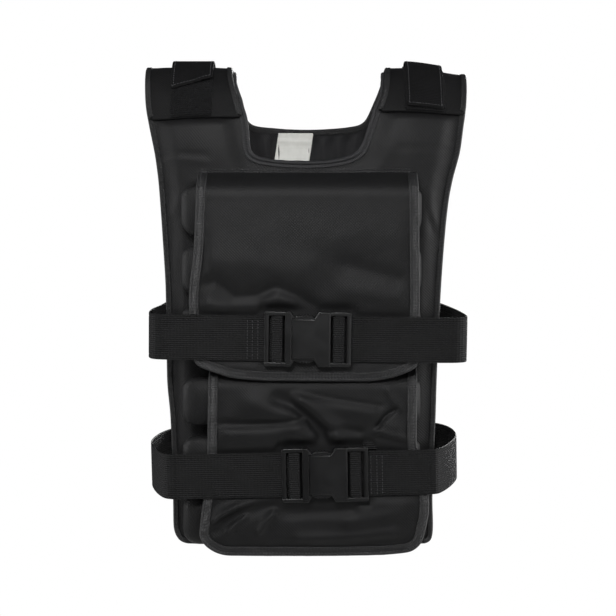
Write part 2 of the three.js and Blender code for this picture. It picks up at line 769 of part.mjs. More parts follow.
function rounded(points, radius) {
  return points.flatMap((corner, i) => {
    if (i === 0 || i === points.length - 1) return [corner];
    const [from, to] = [points[i - 1], points[i + 1]].map((other) =>
      other.clone().sub(corner).setLength(radius).add(corner),
    );
    return new THREE.QuadraticBezierCurve(from, corner, to).getPoints(cornerSteps);
  });
}

// Webbing at one end of a buckle, in plan, from its loose end to where it runs clear of the buckle
function webAtBuckle(centre, side) {
  const end = buckleLength / 2;
  const beyondBar = outerBar + webSlot + barWidth + clearance + webThickness / 2;
  const beforeBar = outerBar + webSlot - clearance - webThickness / 2;
  const overBar = buckleBack - barBack - barThickness - clearance - webThickness / 2;
  const at = (inward, y) => new THREE.Vector2(centre + side * (end - inward), y);
  return rounded(
    [
      at(-webTail, webFirst),
      at(beyondBar, webFirst),
      at(beyondBar, overBar),
      at(beforeBar, overBar),
      at(beforeBar, webFront),
      at(-webTail, webFront),
    ],
    webCorner,
  );
}

function loopPoints(loop, side) {
  return loop.map((row) => {
    const y = THREE.MathUtils.lerp(webFront, webBack, row.back);
    return new THREE.Vector2(side * row.out * beltReach, y);
  });
}

function belt(drop, slope, centre, leftLoop, rightLoop) {
  const left = new THREE.SplineCurve(loopPoints(leftLoop, -1)).getPoints(loopSteps);
  const right = new THREE.SplineCurve(loopPoints(rightLoop, 1)).getPoints(loopSteps);
  const path = [
    ...webAtBuckle(centre, -1),
    ...left,
    ...right.toReversed(),
    ...webAtBuckle(centre, 1).toReversed(),
  ];
  const section = [
    [-webThickness / 2, -webWidth / 2],
    [webThickness / 2, -webWidth / 2],
    [webThickness / 2, webWidth / 2],
    [-webThickness / 2, webWidth / 2],
  ];
  const rings = path.map((_, i) =>
    section.map(([out, up]) => {
      const { x, y } = besideLine(path, i, out);
      return new THREE.Vector3(x - slope * up, y, -drop + slope * (x - centre) + up);
    }),
  );
  return capped(
    ringSolid(rings),
    section.map(([p, q]) => new THREE.Vector2(p, q)),
  );
}

add(
  "upper_belt",
  belt(upperBeltDrop, upperBeltSlope, upperBuckleCentre, upperLeftLoop, upperRightLoop),
  webbing,
);
add(
  "lower_belt",
  belt(lowerBeltDrop, lowerBeltSlope, lowerBuckleCentre, lowerLeftLoop, lowerRightLoop),
  webbing,
);

// Loose end of the lower belt, turned up behind it beside the buckle
const beltEnd = new THREE.BoxGeometry(beltEndWidth, webThickness, beltEndHeight);
add("lower_belt_end", beltEnd, webbing).position.set(
  lowerBuckleCentre + beltEndOffset,
  webFirst,
  -lowerBeltDrop + lowerBeltSlope * beltEndOffset + webWidth / 2 + 2 * clearance + beltEndHeight / 2,
);

// Solid of a closed geometry, for cutting and joining
function solid(geometry) {
  const bare = geometry.clone();
  bare.deleteAttribute("normal");
  bare.deleteAttribute("uv");
  const merged = mergeVertices(bare, 1e-4);
  return new wasm.Manifold(
    new wasm.Mesh({
      numProp: 3,
      vertProperties: merged.attributes.position.array,
      triVerts: new Uint32Array(merged.index.array),
    }),
  );
}

function geometryOf(body) {
  const mesh = body.getMesh();
  const geometry = new THREE.BufferGeometry();
  geometry.setAttribute("position", new THREE.BufferAttribute(mesh.vertProperties, mesh.numProp));
  geometry.setIndex(new THREE.BufferAttribute(mesh.triVerts, 1));
  return geometry;
}

// Plate in the buckle's own frame. A corner's place is measured from the outer end of the male part and up
// from the middle, and the plate reaches from one distance in front of the back face to another.
function plate(corners, from, to, bevel = 0) {
  const points = corners.map(([place, up]) => new THREE.Vector2(place - buckleLength / 2, up));
  const shape = new THREE.Shape(points);
  const geometry = new THREE.ExtrudeGeometry(shape, {
    depth: to - from - 2 * bevel,
    bevelEnabled: bevel > 0,
    bevelThickness: bevel,
    bevelSize: bevel,
    bevelOffset: -bevel,
    bevelSegments: 2,
  });
  geometry.translate(0, 0, from + bevel);
  geometry.rotateX(Math.PI / 2);
  return solid(geometry);
}

// Plate whose lower half mirrors its upper one
function mirrored(upperCorners, from, to, bevel = 0) {
  const lower = upperCorners.map(([place, up]) => [place, -up]);
  return plate([...lower, ...upperCorners.toReversed()], from, to, bevel);
}

function box(start, end, halfHeight, from, to, bevel = 0) {
  return mirrored([[start, halfHeight], [end, halfHeight]], from, to, bevel);
}

const half = buckleHeight / 2;
const slotHalf = webWidth / 2 + 2 * clearance;
const slotted = outerBar + webSlot + barWidth + webSlot; // length of a slotted end
const barFront = barBack + barThickness;
const notchFloor = half - notchDepth; // half height of the female part beside the notches

// Slotted end that both parts have, measured from its own outer end
function slottedEnd(place) {
  const outline = [
    [place(0), half - cornerCut],
    [place(cornerCut), half],
    [place(slotted + overlap), half],
  ];
  const ordered = place(1) > place(0) ? outline : outline.toReversed();
  const slots = [outerBar, outerBar + webSlot + barWidth].map((start) => {
    const ends = [place(start), place(start + webSlot)].sort((a, b) => a - b);
    return box(ends[0], ends[1], slotHalf, -overlap, buckleThickness + overlap);
  });
  const frame = mirrored(ordered, barBack, barFront, buckleBevel);
  return slots.reduce((body, slot) => body.subtract(slot), frame);
}

function buckleMale() {
  const collarEnd = slotted + collarLength;
  const back = buckleWall + clearance;
  const front = buckleThickness - buckleWall - clearance;
  const armOut = notchFloor - clearance;
  const armIn = armOut - armWidth;
  const latch = notchFloor + latchProud;
  const arm = (side) => {
    const outline = [
      [collarEnd - overlap, armIn],
      [notchEnd - armPlay, armIn + armPlay],
      [notchEnd - armPlay, armOut],
      [notchEnd - latchNose, latch],
      [collarEnd + latchEntry, latch],
      [collarEnd - overlap, armOut],
    ];
    return plate(
      outline.map(([place, up]) => [place, side * up]),
      back,
      front,
    );
  };
  const collar = box(slotted, collarEnd, half, 0, buckleThickness, buckleBevel);
  const tongue = box(collarEnd - overlap, notchEnd - tonguePlay, tongueWidth / 2, back, front);
  return slottedEnd((distance) => distance).add(collar).add(arm(1)).add(arm(-1)).add(tongue);
}

function buckleFemale() {
  const mouth = slotted + collarLength + clearance;
  const bodyEnd = buckleLength - slotted;
  const shell = mirrored(
    [
      [mouth, notchFloor],
      [notchEnd - notchSlant, notchFloor],
      [notchEnd, half],
      [bodyEnd, half],
    ],
    0,
    buckleThickness,
    buckleBevel,
  );
  const opening = half - 2 * buckleWall;
  const cavity = box(mouth - overlap, cavityEnd, opening, buckleWall, buckleThickness - buckleWall);
  return shell.subtract(cavity).add(slottedEnd((distance) => buckleLength - distance));
}

function placeBuckle(name, body, centre, drop, slope) {
  const mesh = add(name, geometryOf(body), plastic);
  mesh.position.set(centre, buckleBack, -drop);
  mesh.rotation.y = -Math.atan(slope);
}

placeBuckle("upper_buckle_male", buckleMale(), upperBuckleCentre, upperBeltDrop, upperBeltSlope);
placeBuckle("upper_buckle_female", buckleFemale(), upperBuckleCentre, upperBeltDrop, upperBeltSlope);
placeBuckle("lower_buckle_male", buckleMale(), lowerBuckleCentre, lowerBeltDrop, lowerBeltSlope);
placeBuckle("lower_buckle_female", buckleFemale(), lowerBuckleCentre, lowerBeltDrop, lowerBeltSlope);

export default vest;
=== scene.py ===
# Weighted vest in its worn form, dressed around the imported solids. Blender works in metres; the shapes
# below are worked out in millimetres in the same frame: +Z up, and the front looks along -Y.
import math

import bpy
import numpy as np
from mathutils import Matrix, Vector, noise
from mathutils.geometry import delaunay_2d_cdt


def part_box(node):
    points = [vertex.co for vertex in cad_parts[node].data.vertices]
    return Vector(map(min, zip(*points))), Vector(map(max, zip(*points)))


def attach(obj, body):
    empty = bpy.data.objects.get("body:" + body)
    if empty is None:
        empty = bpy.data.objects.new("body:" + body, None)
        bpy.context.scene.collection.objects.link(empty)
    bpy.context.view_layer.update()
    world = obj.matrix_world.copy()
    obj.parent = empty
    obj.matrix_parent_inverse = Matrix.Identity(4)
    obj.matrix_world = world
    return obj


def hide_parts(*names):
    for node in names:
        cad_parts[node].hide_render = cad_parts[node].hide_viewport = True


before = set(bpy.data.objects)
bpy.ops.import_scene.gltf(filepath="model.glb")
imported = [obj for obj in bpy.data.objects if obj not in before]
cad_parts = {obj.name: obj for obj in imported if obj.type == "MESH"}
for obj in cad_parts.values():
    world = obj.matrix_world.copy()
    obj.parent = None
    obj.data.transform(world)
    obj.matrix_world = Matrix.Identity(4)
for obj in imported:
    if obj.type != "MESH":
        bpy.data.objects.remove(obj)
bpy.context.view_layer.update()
mm = 0.001
print("frame loaded:", len(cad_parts), "nodes")

# Camera of the photograph: a long lens two metres away, looking down a little

camera = {"place": (2.2, -2103, -42.8), "tilt": 6, "lens": 107.5}
eye = bpy.data.objects.new("camera", bpy.data.cameras.new("camera"))
eye.data.lens = camera["lens"]
eye.location = Vector(camera["place"]) * mm
eye.rotation_euler = (math.radians(90 - camera["tilt"]), 0, 0)
bpy.context.scene.collection.objects.link(eye)
bpy.context.scene.camera = eye
bpy.context.scene.view_settings.view_transform = "Standard"


# Small tools

def smooth(low, high, value):
    share = np.clip((np.asarray(value, dtype=float) - low) / (high - low), 0.0, 1.0)
    return share * share * (3 - 2 * share)


def mix(one, two, share):
    return one + (two - one) * share


def table(columns, rows):
    # Rows of values as dictionaries under the columns' names
    return [dict(zip(columns.split(), row)) for row in rows]


def tableCurve(rows, key, column, at):
    # Smooth curve through the rows of a table that doesn't overshoot them
    x = np.array([row[key] for row in rows], dtype=float)
    y = np.array([row[column] for row in rows], dtype=float)
    step = np.diff(x)
    slope = np.diff(y) / step
    tangent = np.zeros_like(y)
    tangent[0], tangent[-1] = slope[0], slope[-1]
    before, after = slope[:-1], slope[1:]
    alike = before * after > 0
    tangent[1:-1] = np.where(alike, 2 * before * after / np.where(alike, before + after, 1), 0)
    at = np.clip(np.asarray(at, dtype=float), x[0], x[-1])
    i = np.clip(np.searchsorted(x, at) - 1, 0, len(x) - 2)
    t = (at - x[i]) / step[i]
    start = (1 + 2 * t) * (1 - t) ** 2 * y[i] + t * (1 - t) ** 2 * step[i] * tangent[i]
    end = t * t * (3 - 2 * t) * y[i + 1] + t * t * (t - 1) * step[i] * tangent[i + 1]
    return start + end


def cloudy(points, size, seed=0.0):
    # Soft noise from -1 to 1 over points in mm; size is the width of its features, one number for each axis
    wide = np.asarray(points, dtype=float)
    if wide.shape[1] == 2:
        wide = np.column_stack([wide, np.zeros(len(wide))])
    wide = wide / np.asarray(size if hasattr(size, "__len__") else (size,) * 3, dtype=float)
    shift = Vector((seed * 17.3, seed * 5.1, seed * 9.7))
    return np.array([noise.noise(Vector(p) + shift) for p in wide])


def lengthAlong(path):
    # Distance from a polyline's start to each of its points
    return np.concatenate([[0], np.cumsum(np.linalg.norm(np.diff(path, axis=0), axis=1))])


def evenly(path, spacing):
    # The same polyline with its points an even distance apart
    path = np.asarray(path, dtype=float)
    length = lengthAlong(path)
    count = max(2, int(round(length[-1] / spacing)) + 1)
    at = np.linspace(0, length[-1], count)
    return np.stack([np.interp(at, length, path[:, k]) for k in range(path.shape[1])], axis=1)


def directions(path, closed=False):
    # Unit direction of a polyline at each of its points
    path = np.asarray(path, dtype=float)
    if closed:
        path = np.vstack([path[-1:], path, path[:1]])
    step = np.diff(path, axis=0)
    step /= np.maximum(np.linalg.norm(step, axis=1)[:, None], 1e-9)
    way = np.vstack([step[:1], step[:-1] + step[1:], step[-1:]])
    way /= np.maximum(np.linalg.norm(way, axis=1)[:, None], 1e-9)
    return way[1:-1] if closed else way


def leftOf(way):
    # Flat directions turned a quarter to the left
    return np.stack([-way[:, 1], way[:, 0]], axis=1)


def distanceTo(points, line):
    # Distance of flat points to a polyline
    a, edge = line[:-1], np.diff(line, axis=0)
    best = np.full(len(points), 1e9)
    for start in range(0, len(points), 2000):
        p = points[start : start + 2000, None, :]
        t = np.clip(((p - a) * edge).sum(-1) / np.maximum((edge * edge).sum(-1), 1e-12), 0, 1)
        gap = p - (a + edge * t[..., None])
        best[start : start + 2000] = np.sqrt((gap * gap).sum(-1)).min(axis=1)
    return best


def closedLine(loop):
    return np.vstack([loop, loop[:1]])


def turnsLeft(loop):
    return float(np.sum(loop[:, 0] * np.roll(loop[:, 1], -1) - np.roll(loop[:, 0], -1) * loop[:, 1])) > 0


def insideOf(points, loop):
    x, y = points[:, 0], points[:, 1]
    inside = np.zeros(len(points), dtype=bool)
    for (ax, ay), (bx, by) in zip(loop, np.roll(loop, -1, axis=0)):
        if ay != by:
            inside ^= ((ay > y) != (by > y)) & (x < (bx - ax) * (y - ay) / (by - ay) + ax)
    return inside


def relief(points, strokes):
    # Height of a table of strokes in the cloth, each a line with a width and a rise, or a dent below zero
    total = np.zeros(len(points))
    for stroke in strokes:
        away = distanceTo(points, np.array(stroke["line"], dtype=float)) / stroke["wide"]
        total += stroke["rise"] * np.exp(-away * away)
    return total


# Meshes

def newPiece(name, points, faces, patternMap=None, shade=True):
    # Points in mm. patternMap holds the cloth's own flat coordinates in mm, which its weave follows.
    mesh = bpy.data.meshes.new(name)
    mesh.from_pydata((np.asarray(points) * mm).tolist(), [], faces)
    mesh.update()
    if patternMap is not None:
        layer = mesh.attributes.new("patternMap", "FLOAT_VECTOR", "POINT")
        flat = np.zeros((len(points), 3))
        flat[:, : patternMap.shape[1]] = patternMap
        layer.data.foreach_set("vector", (flat * mm).ravel())
    mesh.polygons.foreach_set("use_smooth", [shade] * len(mesh.polygons))
    piece = bpy.data.objects.new(name, mesh)
    bpy.context.scene.collection.objects.link(piece)
    return piece


def meshPoints(mesh):
    flat = np.empty(len(mesh.vertices) * 3)
    mesh.vertices.foreach_get("co", flat)
    return flat.reshape(-1, 3)


def setPoints(mesh, points):
    mesh.vertices.foreach_set("co", np.asarray(points).ravel())
    mesh.update()


def finished(piece, material, slot, *nodes):
    # A piece of the vest with its material and the nodes it stands for. slot, the material slot it belongs to,
    # is not used.
    piece.data.materials.append(material)
    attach(piece, "root")
    if nodes:
        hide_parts(*nodes)
    return piece


def facingOut(points, faces):
    # Turns all faces round where the volume that they close comes out negative
    p = np.asarray(points)
    total = 0.0
    for face in faces:
        for j in range(1, len(face) - 1):
            total += float(np.dot(p[face[0]], np.cross(p[face[j]], p[face[j + 1]])))
    return [tuple(reversed(face)) for face in faces] if total < 0 else faces


def tubeFaces(first, count, size, closed=False):
    # Faces round a tube whose rings of points follow each other from a first point, and over its two ends
    faces = []
    for i in range(count if closed else count - 1):
        near, far = first + i * size, first + (i + 1) % count * size
        for j in range(size):
            k = (j + 1) % size
            faces.append((near + j, near + k, far + k, far + j))
    if not closed:
        faces.append(tuple(first + j for j in range(size - 1, -1, -1)))
        faces.append(tuple(first + (count - 1) * size + j for j in range(size)))
    return faces


def sweptPiece(name, rings, patternMap=None, closed=False):
    # Closed body through rings of points
    rings = np.asarray(rings, dtype=float)
    count, size = rings.shape[:2]
    faces = tubeFaces(0, count, size, closed)
    points = rings.reshape(-1, 3)
    flat = None if patternMap is None else np.asarray(patternMap, dtype=float).reshape(count * size, -1)
    return newPiece(name, points, facingOut(points, faces), flat)


def cutCloth(loop, spacing, rims):
    # Triangles over a flat outline: rows of points at the given distances inside its edge, then an even grid
    loop = evenly(closedLine(loop), spacing)[:-1]
    loop = loop if turnsLeft(loop) else loop[::-1]
    line = closedLine(loop)
    inward = leftOf(directions(loop, closed=True))
    kept = [loop]
    for rim in rims:
        ring = loop + inward * rim
        kept.append(ring[distanceTo(ring, line) > rim * 0.92])
    low, high = loop.min(axis=0), loop.max(axis=0)
    across = np.arange(math.ceil(low[0] / spacing), math.floor(high[0] / spacing) + 1) * spacing
    down = np.arange(math.ceil(low[1] / spacing), math.floor(high[1] / spacing) + 1) * spacing
    grid = np.stack(np.meshgrid(across, down), axis=-1).reshape(-1, 2)
    grid = grid[insideOf(grid, loop)]
    kept.append(grid[distanceTo(grid, line) > rims[-1] + spacing * 0.55])
    flat = np.vstack(kept)
    edges = [(i, (i + 1) % len(loop)) for i in range(len(loop))]
    result = delaunay_2d_cdt([Vector(p) for p in flat], edges, [], 1, 1e-4)
    points = np.array([[p.x, p.y] for p in result[0]])
    return points, distanceTo(points, line), [tuple(face) for face in result[2]]


def rounding(toEdge, radius):
    # Share of its half thickness that cloth has near a rolled edge: a quarter circle, then all of it
    return np.sqrt(1 - (1 - np.clip(toEdge / radius, 0, 1)) ** 2)


def clothPiece(name, loop, spacing, rims, place):
    # Two faces of cloth that meet at the outline. place(flat, toEdge, face) gives the points of a face.
    flat, toEdge, triangles = cutCloth(loop, spacing, rims)
    rim = toEdge < 1e-3
    second = np.arange(len(flat))
    second[~rim] = len(flat) + np.arange(int((~rim).sum()))
    top, bottom = place(flat, toEdge, 1), place(flat, toEdge, 0)
    top[rim] = (top[rim] + bottom[rim]) / 2
    points = np.vstack([top, bottom[~rim]])
    faces = triangles + [tuple(int(second[i]) for i in reversed(face)) for face in triangles]
    return newPiece(name, points, facingOut(points, faces), np.vstack([flat, flat[~rim]]))


def foldedTape(name, path, tape, faces, place, inwardSide=1, closed=False):
    # Tape folded round an edge drawn on flat cloth. faces(i, depth) gives the lifts of the cloth's two faces
    # at depths inward from point i of the edge, and place(flat, lift) the points in space.
    inward = leftOf(directions(path, closed)) * inwardSide
    turn = np.sin(np.linspace(0, math.pi / 2, 6))
    depth = np.concatenate([np.linspace(tape["width"], tape["roll"], 13), tape["roll"] * (1 - turn)[1:]])
    # The stitches draw the tape in, so it stands up along its fold and again along its inner edge
    bead = np.exp(-((depth - 0.8) / 0.9) ** 2) + 0.8 * np.exp(-((depth - tape["width"] + 1.4) / 1.0) ** 2)
    bead = tape["bead"] * np.concatenate([bead, bead[-2::-1]])[:, None]
    length = lengthAlong(path)
    flats, lifts, maps = [], [], []
    for i in range(len(path)):
        low, high = faces(i, depth)
        curve = np.vstack([np.column_stack([depth, low]), np.column_stack([depth, high])[-2::-1]])
        outward = leftOf(directions(curve))
        outside = curve + outward * (tape["gap"] + tape["thick"] + bead)
        ring = np.vstack([outside, (curve + outward * tape["gap"])[::-1]])
        flats.append(path[i] + inward[i] * ring[:, :1])
        lifts.append(ring[:, 1])
        maps.append(np.column_stack([lengthAlong(ring), np.full(len(ring), length[i])]))
    size = len(lifts[0])
    points = place(np.vstack(flats), np.concatenate(lifts)).reshape(len(path), size, 3)
    return sweptPiece(name, points, np.array(maps), closed)


def besidePath(path, distance, inwardSide=1, closed=False):
    return path + leftOf(directions(path, closed)) * inwardSide * distance


def seamLine(place, flat, lift):
    # A line on a surface and the surface's normals along it
    lift = np.broadcast_to(np.asarray(lift, dtype=float), (len(flat),))
    normals = place(flat, lift + 0.5) - place(flat, lift - 0.5)
    return place(flat, lift), normals / np.linalg.norm(normals, axis=1)[:, None]


def stitching(name, rows):
    # Sewn thread: short spindles along rows of (points, normals), pitch and length as a machine stitch has
    thread = {"pitch": 3.6, "length": 2.7, "radius": 0.38, "sides": 6}
    profile = [(-0.5, 0.35, -0.7), (-0.3, 0.95, 0.0), (0.3, 0.95, 0.0), (0.5, 0.35, -0.7)]
    size = thread["sides"]
    points, faces = [], []
    for path, normals in rows:
        both = evenly(np.hstack([path, normals * 0.01]), thread["pitch"])
        line, up = both[:, :3], both[:, 3:]
        way = directions(line)
        for centre, ahead, out in zip(line[:-1], way, up):
            out = out / np.linalg.norm(out)
            side = np.cross(ahead, out)
            first = len(points)
            for place, wide, sink in profile:
                middle = centre + ahead * place * thread["length"] + out * sink * thread["radius"]
                for j in range(size):
                    angle = j * 2 * math.pi / size
                    radius = thread["radius"] * wide
                    points.append(middle + (side * math.cos(angle) + out * math.sin(angle)) * radius)
            faces += tubeFaces(first, len(profile), size)
    return finished(newPiece(name, points, facingOut(points, faces)), sewingThread, None)


# Materials. All colours are sRGB hex values.

def linear(hexCode):
    shares = [int(hexCode[i : i + 2], 16) / 255 for i in (1, 3, 5)]
    return tuple(c / 12.92 if c <= 0.04045 else ((c + 0.055) / 1.055) ** 2.4 for c in shares) + (1.0,)


def addNode(tree, kind, settings=None, links=None):
    # One node with its settings, and links from other nodes' outputs to its inputs
    node = tree.nodes.new(kind)
    for key, value in (settings or {}).items():
        if isinstance(key, str) and hasattr(node, key):
            setattr(node, key, value)
        else:
            node.inputs[key].default_value = value
    for key, source in (links or {}).items():
        tree.links.new(source, node.inputs[key])
    return node


def startMaterial(name):
    material = bpy.data.materials.new(name)
    material.use_nodes = True
    material.node_tree.nodes.clear()
    return material, material.node_tree


def colourBetween(tree, finish, share):
    # The finish's dark colour where share is 0, its light one where it is 1
    return addNode(tree, "ShaderNodeMix", {"data_type": "RGBA", 6: linear(finish["dark"]),
                   7: linear(finish["light"])}, {0: share}).outputs[2]


def roughnessFrom(tree, finish, value):
    low, high = finish["rough"]
    return addNode(tree, "ShaderNodeMapRange", {"From Min": 0.3, "From Max": 0.7, "To Min": low, "To Max": high},
                   {"Value": value}).outputs[0]


def clothMaterial(name, finish):
    # Woven textile: two sets of threads pass over and under each other, which gives a fine even grain, and
    # loose fibre on the threads gives a soft sheen at grazing angles. patternMap carries their directions.
    material, tree = startMaterial(name)
    thread = addNode(tree, "ShaderNodeAttribute", {"attribute_name": "patternMap"}).outputs["Vector"]
    axes = addNode(tree, "ShaderNodeSeparateXYZ", links={0: thread})
    waves = []
    for axis, spacing in (("X", finish["warp"]), ("Y", finish["weft"])):
        turns = addNode(tree, "ShaderNodeMath", {"operation": "MULTIPLY", 1: 2 * math.pi / (spacing * mm)},
                        {0: axes.outputs[axis]})
        waves.append(addNode(tree, "ShaderNodeMath", {"operation": "SINE"}, {0: turns.outputs[0]}))
    if finish["kind"] == "plain":
        grain = addNode(tree, "ShaderNodeMath", {"operation": "MULTIPLY"},
                        {0: waves[0].outputs[0], 1: waves[1].outputs[0]})
    else:
        # Ribs run along one axis, and the cross threads only notch them
        notch = addNode(tree, "ShaderNodeMath", {"operation": "MULTIPLY", 1: finish["notch"]},
                        {0: waves[0].outputs[0]})
        grain = addNode(tree, "ShaderNodeMath", {"operation": "ADD"},
                        {0: waves[1].outputs[0], 1: notch.outputs[0]})
    mottle = addNode(tree, "ShaderNodeTexNoise", {"Scale": 1 / (finish["mottle"] * mm), "Detail": 4.0,
                     "Roughness": 0.6}, {"Vector": thread})
    fuzz = addNode(tree, "ShaderNodeTexNoise", {"Scale": 1 / (finish["fuzz"] * mm), "Detail": 2.0},
                   {"Vector": thread})
    shade = addNode(tree, "ShaderNodeMath", {"operation": "MULTIPLY", 1: finish["grainShade"]},
                    {0: grain.outputs[0]})
    blend = addNode(tree, "ShaderNodeMath", {"operation": "ADD", "use_clamp": True},
                    {0: mottle.outputs[0], 1: shade.outputs[0]})
    colour = colourBetween(tree, finish, blend.outputs[0])
    rough = roughnessFrom(tree, finish, fuzz.outputs[0])
    height = addNode(tree, "ShaderNodeMath", {"operation": "MULTIPLY_ADD", 1: finish["fuzzHeight"]},
                     {0: fuzz.outputs[0], 2: grain.outputs[0]})
    bump = addNode(tree, "ShaderNodeBump", {"Strength": finish["bump"], "Distance": finish["depth"] * mm},
                   {"Height": height.outputs[0]})
    shader = addNode(tree, "ShaderNodeBsdfPrincipled", {"IOR": 1.5, "Specular IOR Level": finish["gloss"],
                     "Sheen Weight": finish["sheen"], "Sheen Roughness": 0.45,
                     "Sheen Tint": linear(finish["sheenTint"])},
                     {"Base Color": colour, "Roughness": rough,
                      "Normal": bump.outputs[0]})
    addNode(tree, "ShaderNodeOutputMaterial", links={"Surface": shader.outputs[0]})
    return material


# Polyester oxford, plain weave: threads 0.55 mm apart are too fine to show, so they're drawn 1.6 mm apart
oxfordCloth = clothMaterial("polyesterOxford", {
    "kind": "plain", "warp": 3.2, "weft": 3.2, "mottle": 26, "fuzz": 1.6, "grainShade": 0.16,
    "dark": "#090909", "light": "#141415", "rough": (0.5, 0.63), "fuzzHeight": 0.9, "bump": 0.5,
    "depth": 0.22, "gloss": 0.21, "sheen": 0.01, "sheenTint": "#8C8C90",
})
# The same cloth in the back panel, whose straps look a shade darker where they lap over the front
strapCloth = clothMaterial("polyesterOxfordDarker", {
    "kind": "plain", "warp": 3.2, "weft": 3.2, "mottle": 26, "fuzz": 1.6, "grainShade": 0.16,
    "dark": "#0A0A0A", "light": "#151516", "rough": (0.62, 0.78), "fuzzHeight": 0.8, "bump": 0.5,
    "depth": 0.22, "gloss": 0.13, "sheen": 0.01, "sheenTint": "#8C8C90",
})
# Grosgrain binding tape: ribs 0.8 mm apart run across it, drawn 1.6 mm apart; a little shinier than the cloth
grosgrainTape = clothMaterial("grosgrainTape", {
    "kind": "rib", "warp": 6.0, "weft": 1.6, "notch": 0.15, "mottle": 14, "fuzz": 1.2,
    "grainShade": 0.14, "dark": "#0B0B0C", "light": "#1A1A1B", "rough": (0.38, 0.54),
    "fuzzHeight": 0.5, "bump": 0.6, "depth": 0.25, "gloss": 0.42, "sheen": 0.02,
    "sheenTint": "#A0A0A4",
})
# Polyester bias tape on the panel edges: the tone of the cloth, with a faint shine where it folds
edgeTape = clothMaterial("polyesterBiasTape", {
    "kind": "rib", "warp": 5.0, "weft": 1.6, "notch": 0.2, "mottle": 7, "fuzz": 1.2,
    "grainShade": 0.16, "dark": "#0A0A0A", "light": "#1A1A1B", "rough": (0.42, 0.6), "fuzzHeight": 0.6,
    "bump": 0.6, "depth": 0.25, "gloss": 0.28, "sheen": 0.02, "sheenTint": "#9A9A9E",
})
# The same tape over the cord of the neckline, painted lighter as a highlight along the cord, and a little
# shinier
neckHighlightTape = clothMaterial("polyesterBiasTapePaintedHighlight", {
    "kind": "rib", "warp": 5.0, "weft": 1.6, "notch": 0.2, "mottle": 9, "fuzz": 1.2,
    "grainShade": 0.16, "dark": "#141415", "light": "#242426", "rough": (0.46, 0.66),
    "fuzzHeight": 0.5, "bump": 0.6, "depth": 0.25, "gloss": 0.35, "sheen": 0.04,
    "sheenTint": "#A0A0A4",
})
# Polyester lining, brushed on its face: plain weave with a soft grey sheen
liningCloth = clothMaterial("brushedLining", {
    "kind": "plain", "warp": 2.8, "weft": 2.8, "mottle": 12, "fuzz": 1.6, "grainShade": 0.1,
    "dark": "#0D0D0E", "light": "#1B1B1D", "rough": (0.5, 0.7), "fuzzHeight": 0.8, "bump": 0.4,
    "depth": 0.2, "gloss": 0.2, "sheen": 0.04, "sheenTint": "#A0A0A4",
})
# Nylon webbing of the shoulder tabs, backed with hooks: fine ribs and almost no shine
tabWebbing = clothMaterial("nylonWebbing", {
    "kind": "rib", "warp": 3.2, "weft": 1.8, "notch": 0.3, "mottle": 18, "fuzz": 1.4,
    "grainShade": 0.12, "dark": "#090909", "light": "#131314", "rough": (0.6, 0.78), "fuzzHeight": 0.4,
    "bump": 0.6, "depth": 0.3, "gloss": 0.08, "sheen": 0.01, "sheenTint": "#8A8A8E",
})
# Polypropylene webbing: heavy lengthwise ribs 1.1 mm apart, drawn 2.3 mm apart, with a dull waxy shine
beltWebbing = clothMaterial("polypropyleneWebbing", {
    "kind": "rib", "warp": 3.6, "weft": 2.3, "notch": 0.35, "mottle": 22, "fuzz": 1.4,
    "grainShade": 0.28, "dark": "#080808", "light": "#171718", "rough": (0.5, 0.68),
    "fuzzHeight": 0.25, "bump": 0.8, "depth": 0.32, "gloss": 0.14, "sheen": 0.01,
    "sheenTint": "#8A8A8E",
})
# Nylon loop pile, brushed: no grain, only a matt tangle of loops about 0.6 mm wide, drawn 1.5 mm wide
loopPile = clothMaterial("nylonLoopPile", {
    "kind": "rib", "warp": 3.0, "weft": 2.2, "notch": 0.3, "mottle": 5, "fuzz": 1.5,
    "grainShade": 0.08, "dark": "#0A0A0A", "light": "#1A1A1B", "rough": (0.85, 0.98),
    "fuzzHeight": 5.0, "bump": 1.0, "depth": 0.35, "gloss": 0.1, "sheen": 0.05, "sheenTint": "#6A6A6C",
})
# Polyester satin ribbon for the blank label: smooth, off white, with faint threads across it
labelSatin = clothMaterial("polyesterSatin", {
    "kind": "rib", "warp": 5.0, "weft": 1.6, "notch": 0.2, "mottle": 11, "fuzz": 2.0,
    "grainShade": 0.05, "dark": "#AEAEA9", "light": "#CACAC5", "rough": (0.4, 0.55), "fuzzHeight": 0.3,
    "bump": 0.15, "depth": 0.1, "gloss": 0.5, "sheen": 0.1, "sheenTint": "#FFFFFF",
})


def plasticMaterial(name, finish):
    # Injection moulded acetal: an even satin skin from the spark eroded mould, slightly polished by handling
    material, tree = startMaterial(name)
    place = addNode(tree, "ShaderNodeTexCoord").outputs["Object"]
    grit = addNode(tree, "ShaderNodeTexNoise", {"Scale": 1 / (finish["grit"] * mm), "Detail": 3.0},
                   {"Vector": place})
    handled = addNode(tree, "ShaderNodeTexNoise", {"Scale": 1 / (finish["handled"] * mm), "Detail": 3.0},
                      {"Vector": place})
    colour = colourBetween(tree, finish, handled.outputs[0])
    rough = roughnessFrom(tree, finish, handled.outputs[0])
    bump = addNode(tree, "ShaderNodeBump", {"Strength": 0.25, "Distance": 0.05 * mm},
                   {"Height": grit.outputs[0]})
    shader = addNode(tree, "ShaderNodeBsdfPrincipled", {"IOR": 1.48, "Specular IOR Level": finish["gloss"]},
                     {"Base Color": colour, "Roughness": rough,
                      "Normal": bump.outputs[0]})
    addNode(tree, "ShaderNodeOutputMaterial", links={"Surface": shader.outputs[0]})
    return material


# Grit of the mould is 0.2 mm, drawn 0.9 mm wide
mouldedAcetal = plasticMaterial("mouldedAcetal", {
    "grit": 0.9, "handled": 18, "dark": "#080808", "light": "#0E0E0F", "rough": (0.3, 0.4), "gloss": 0.42,
})


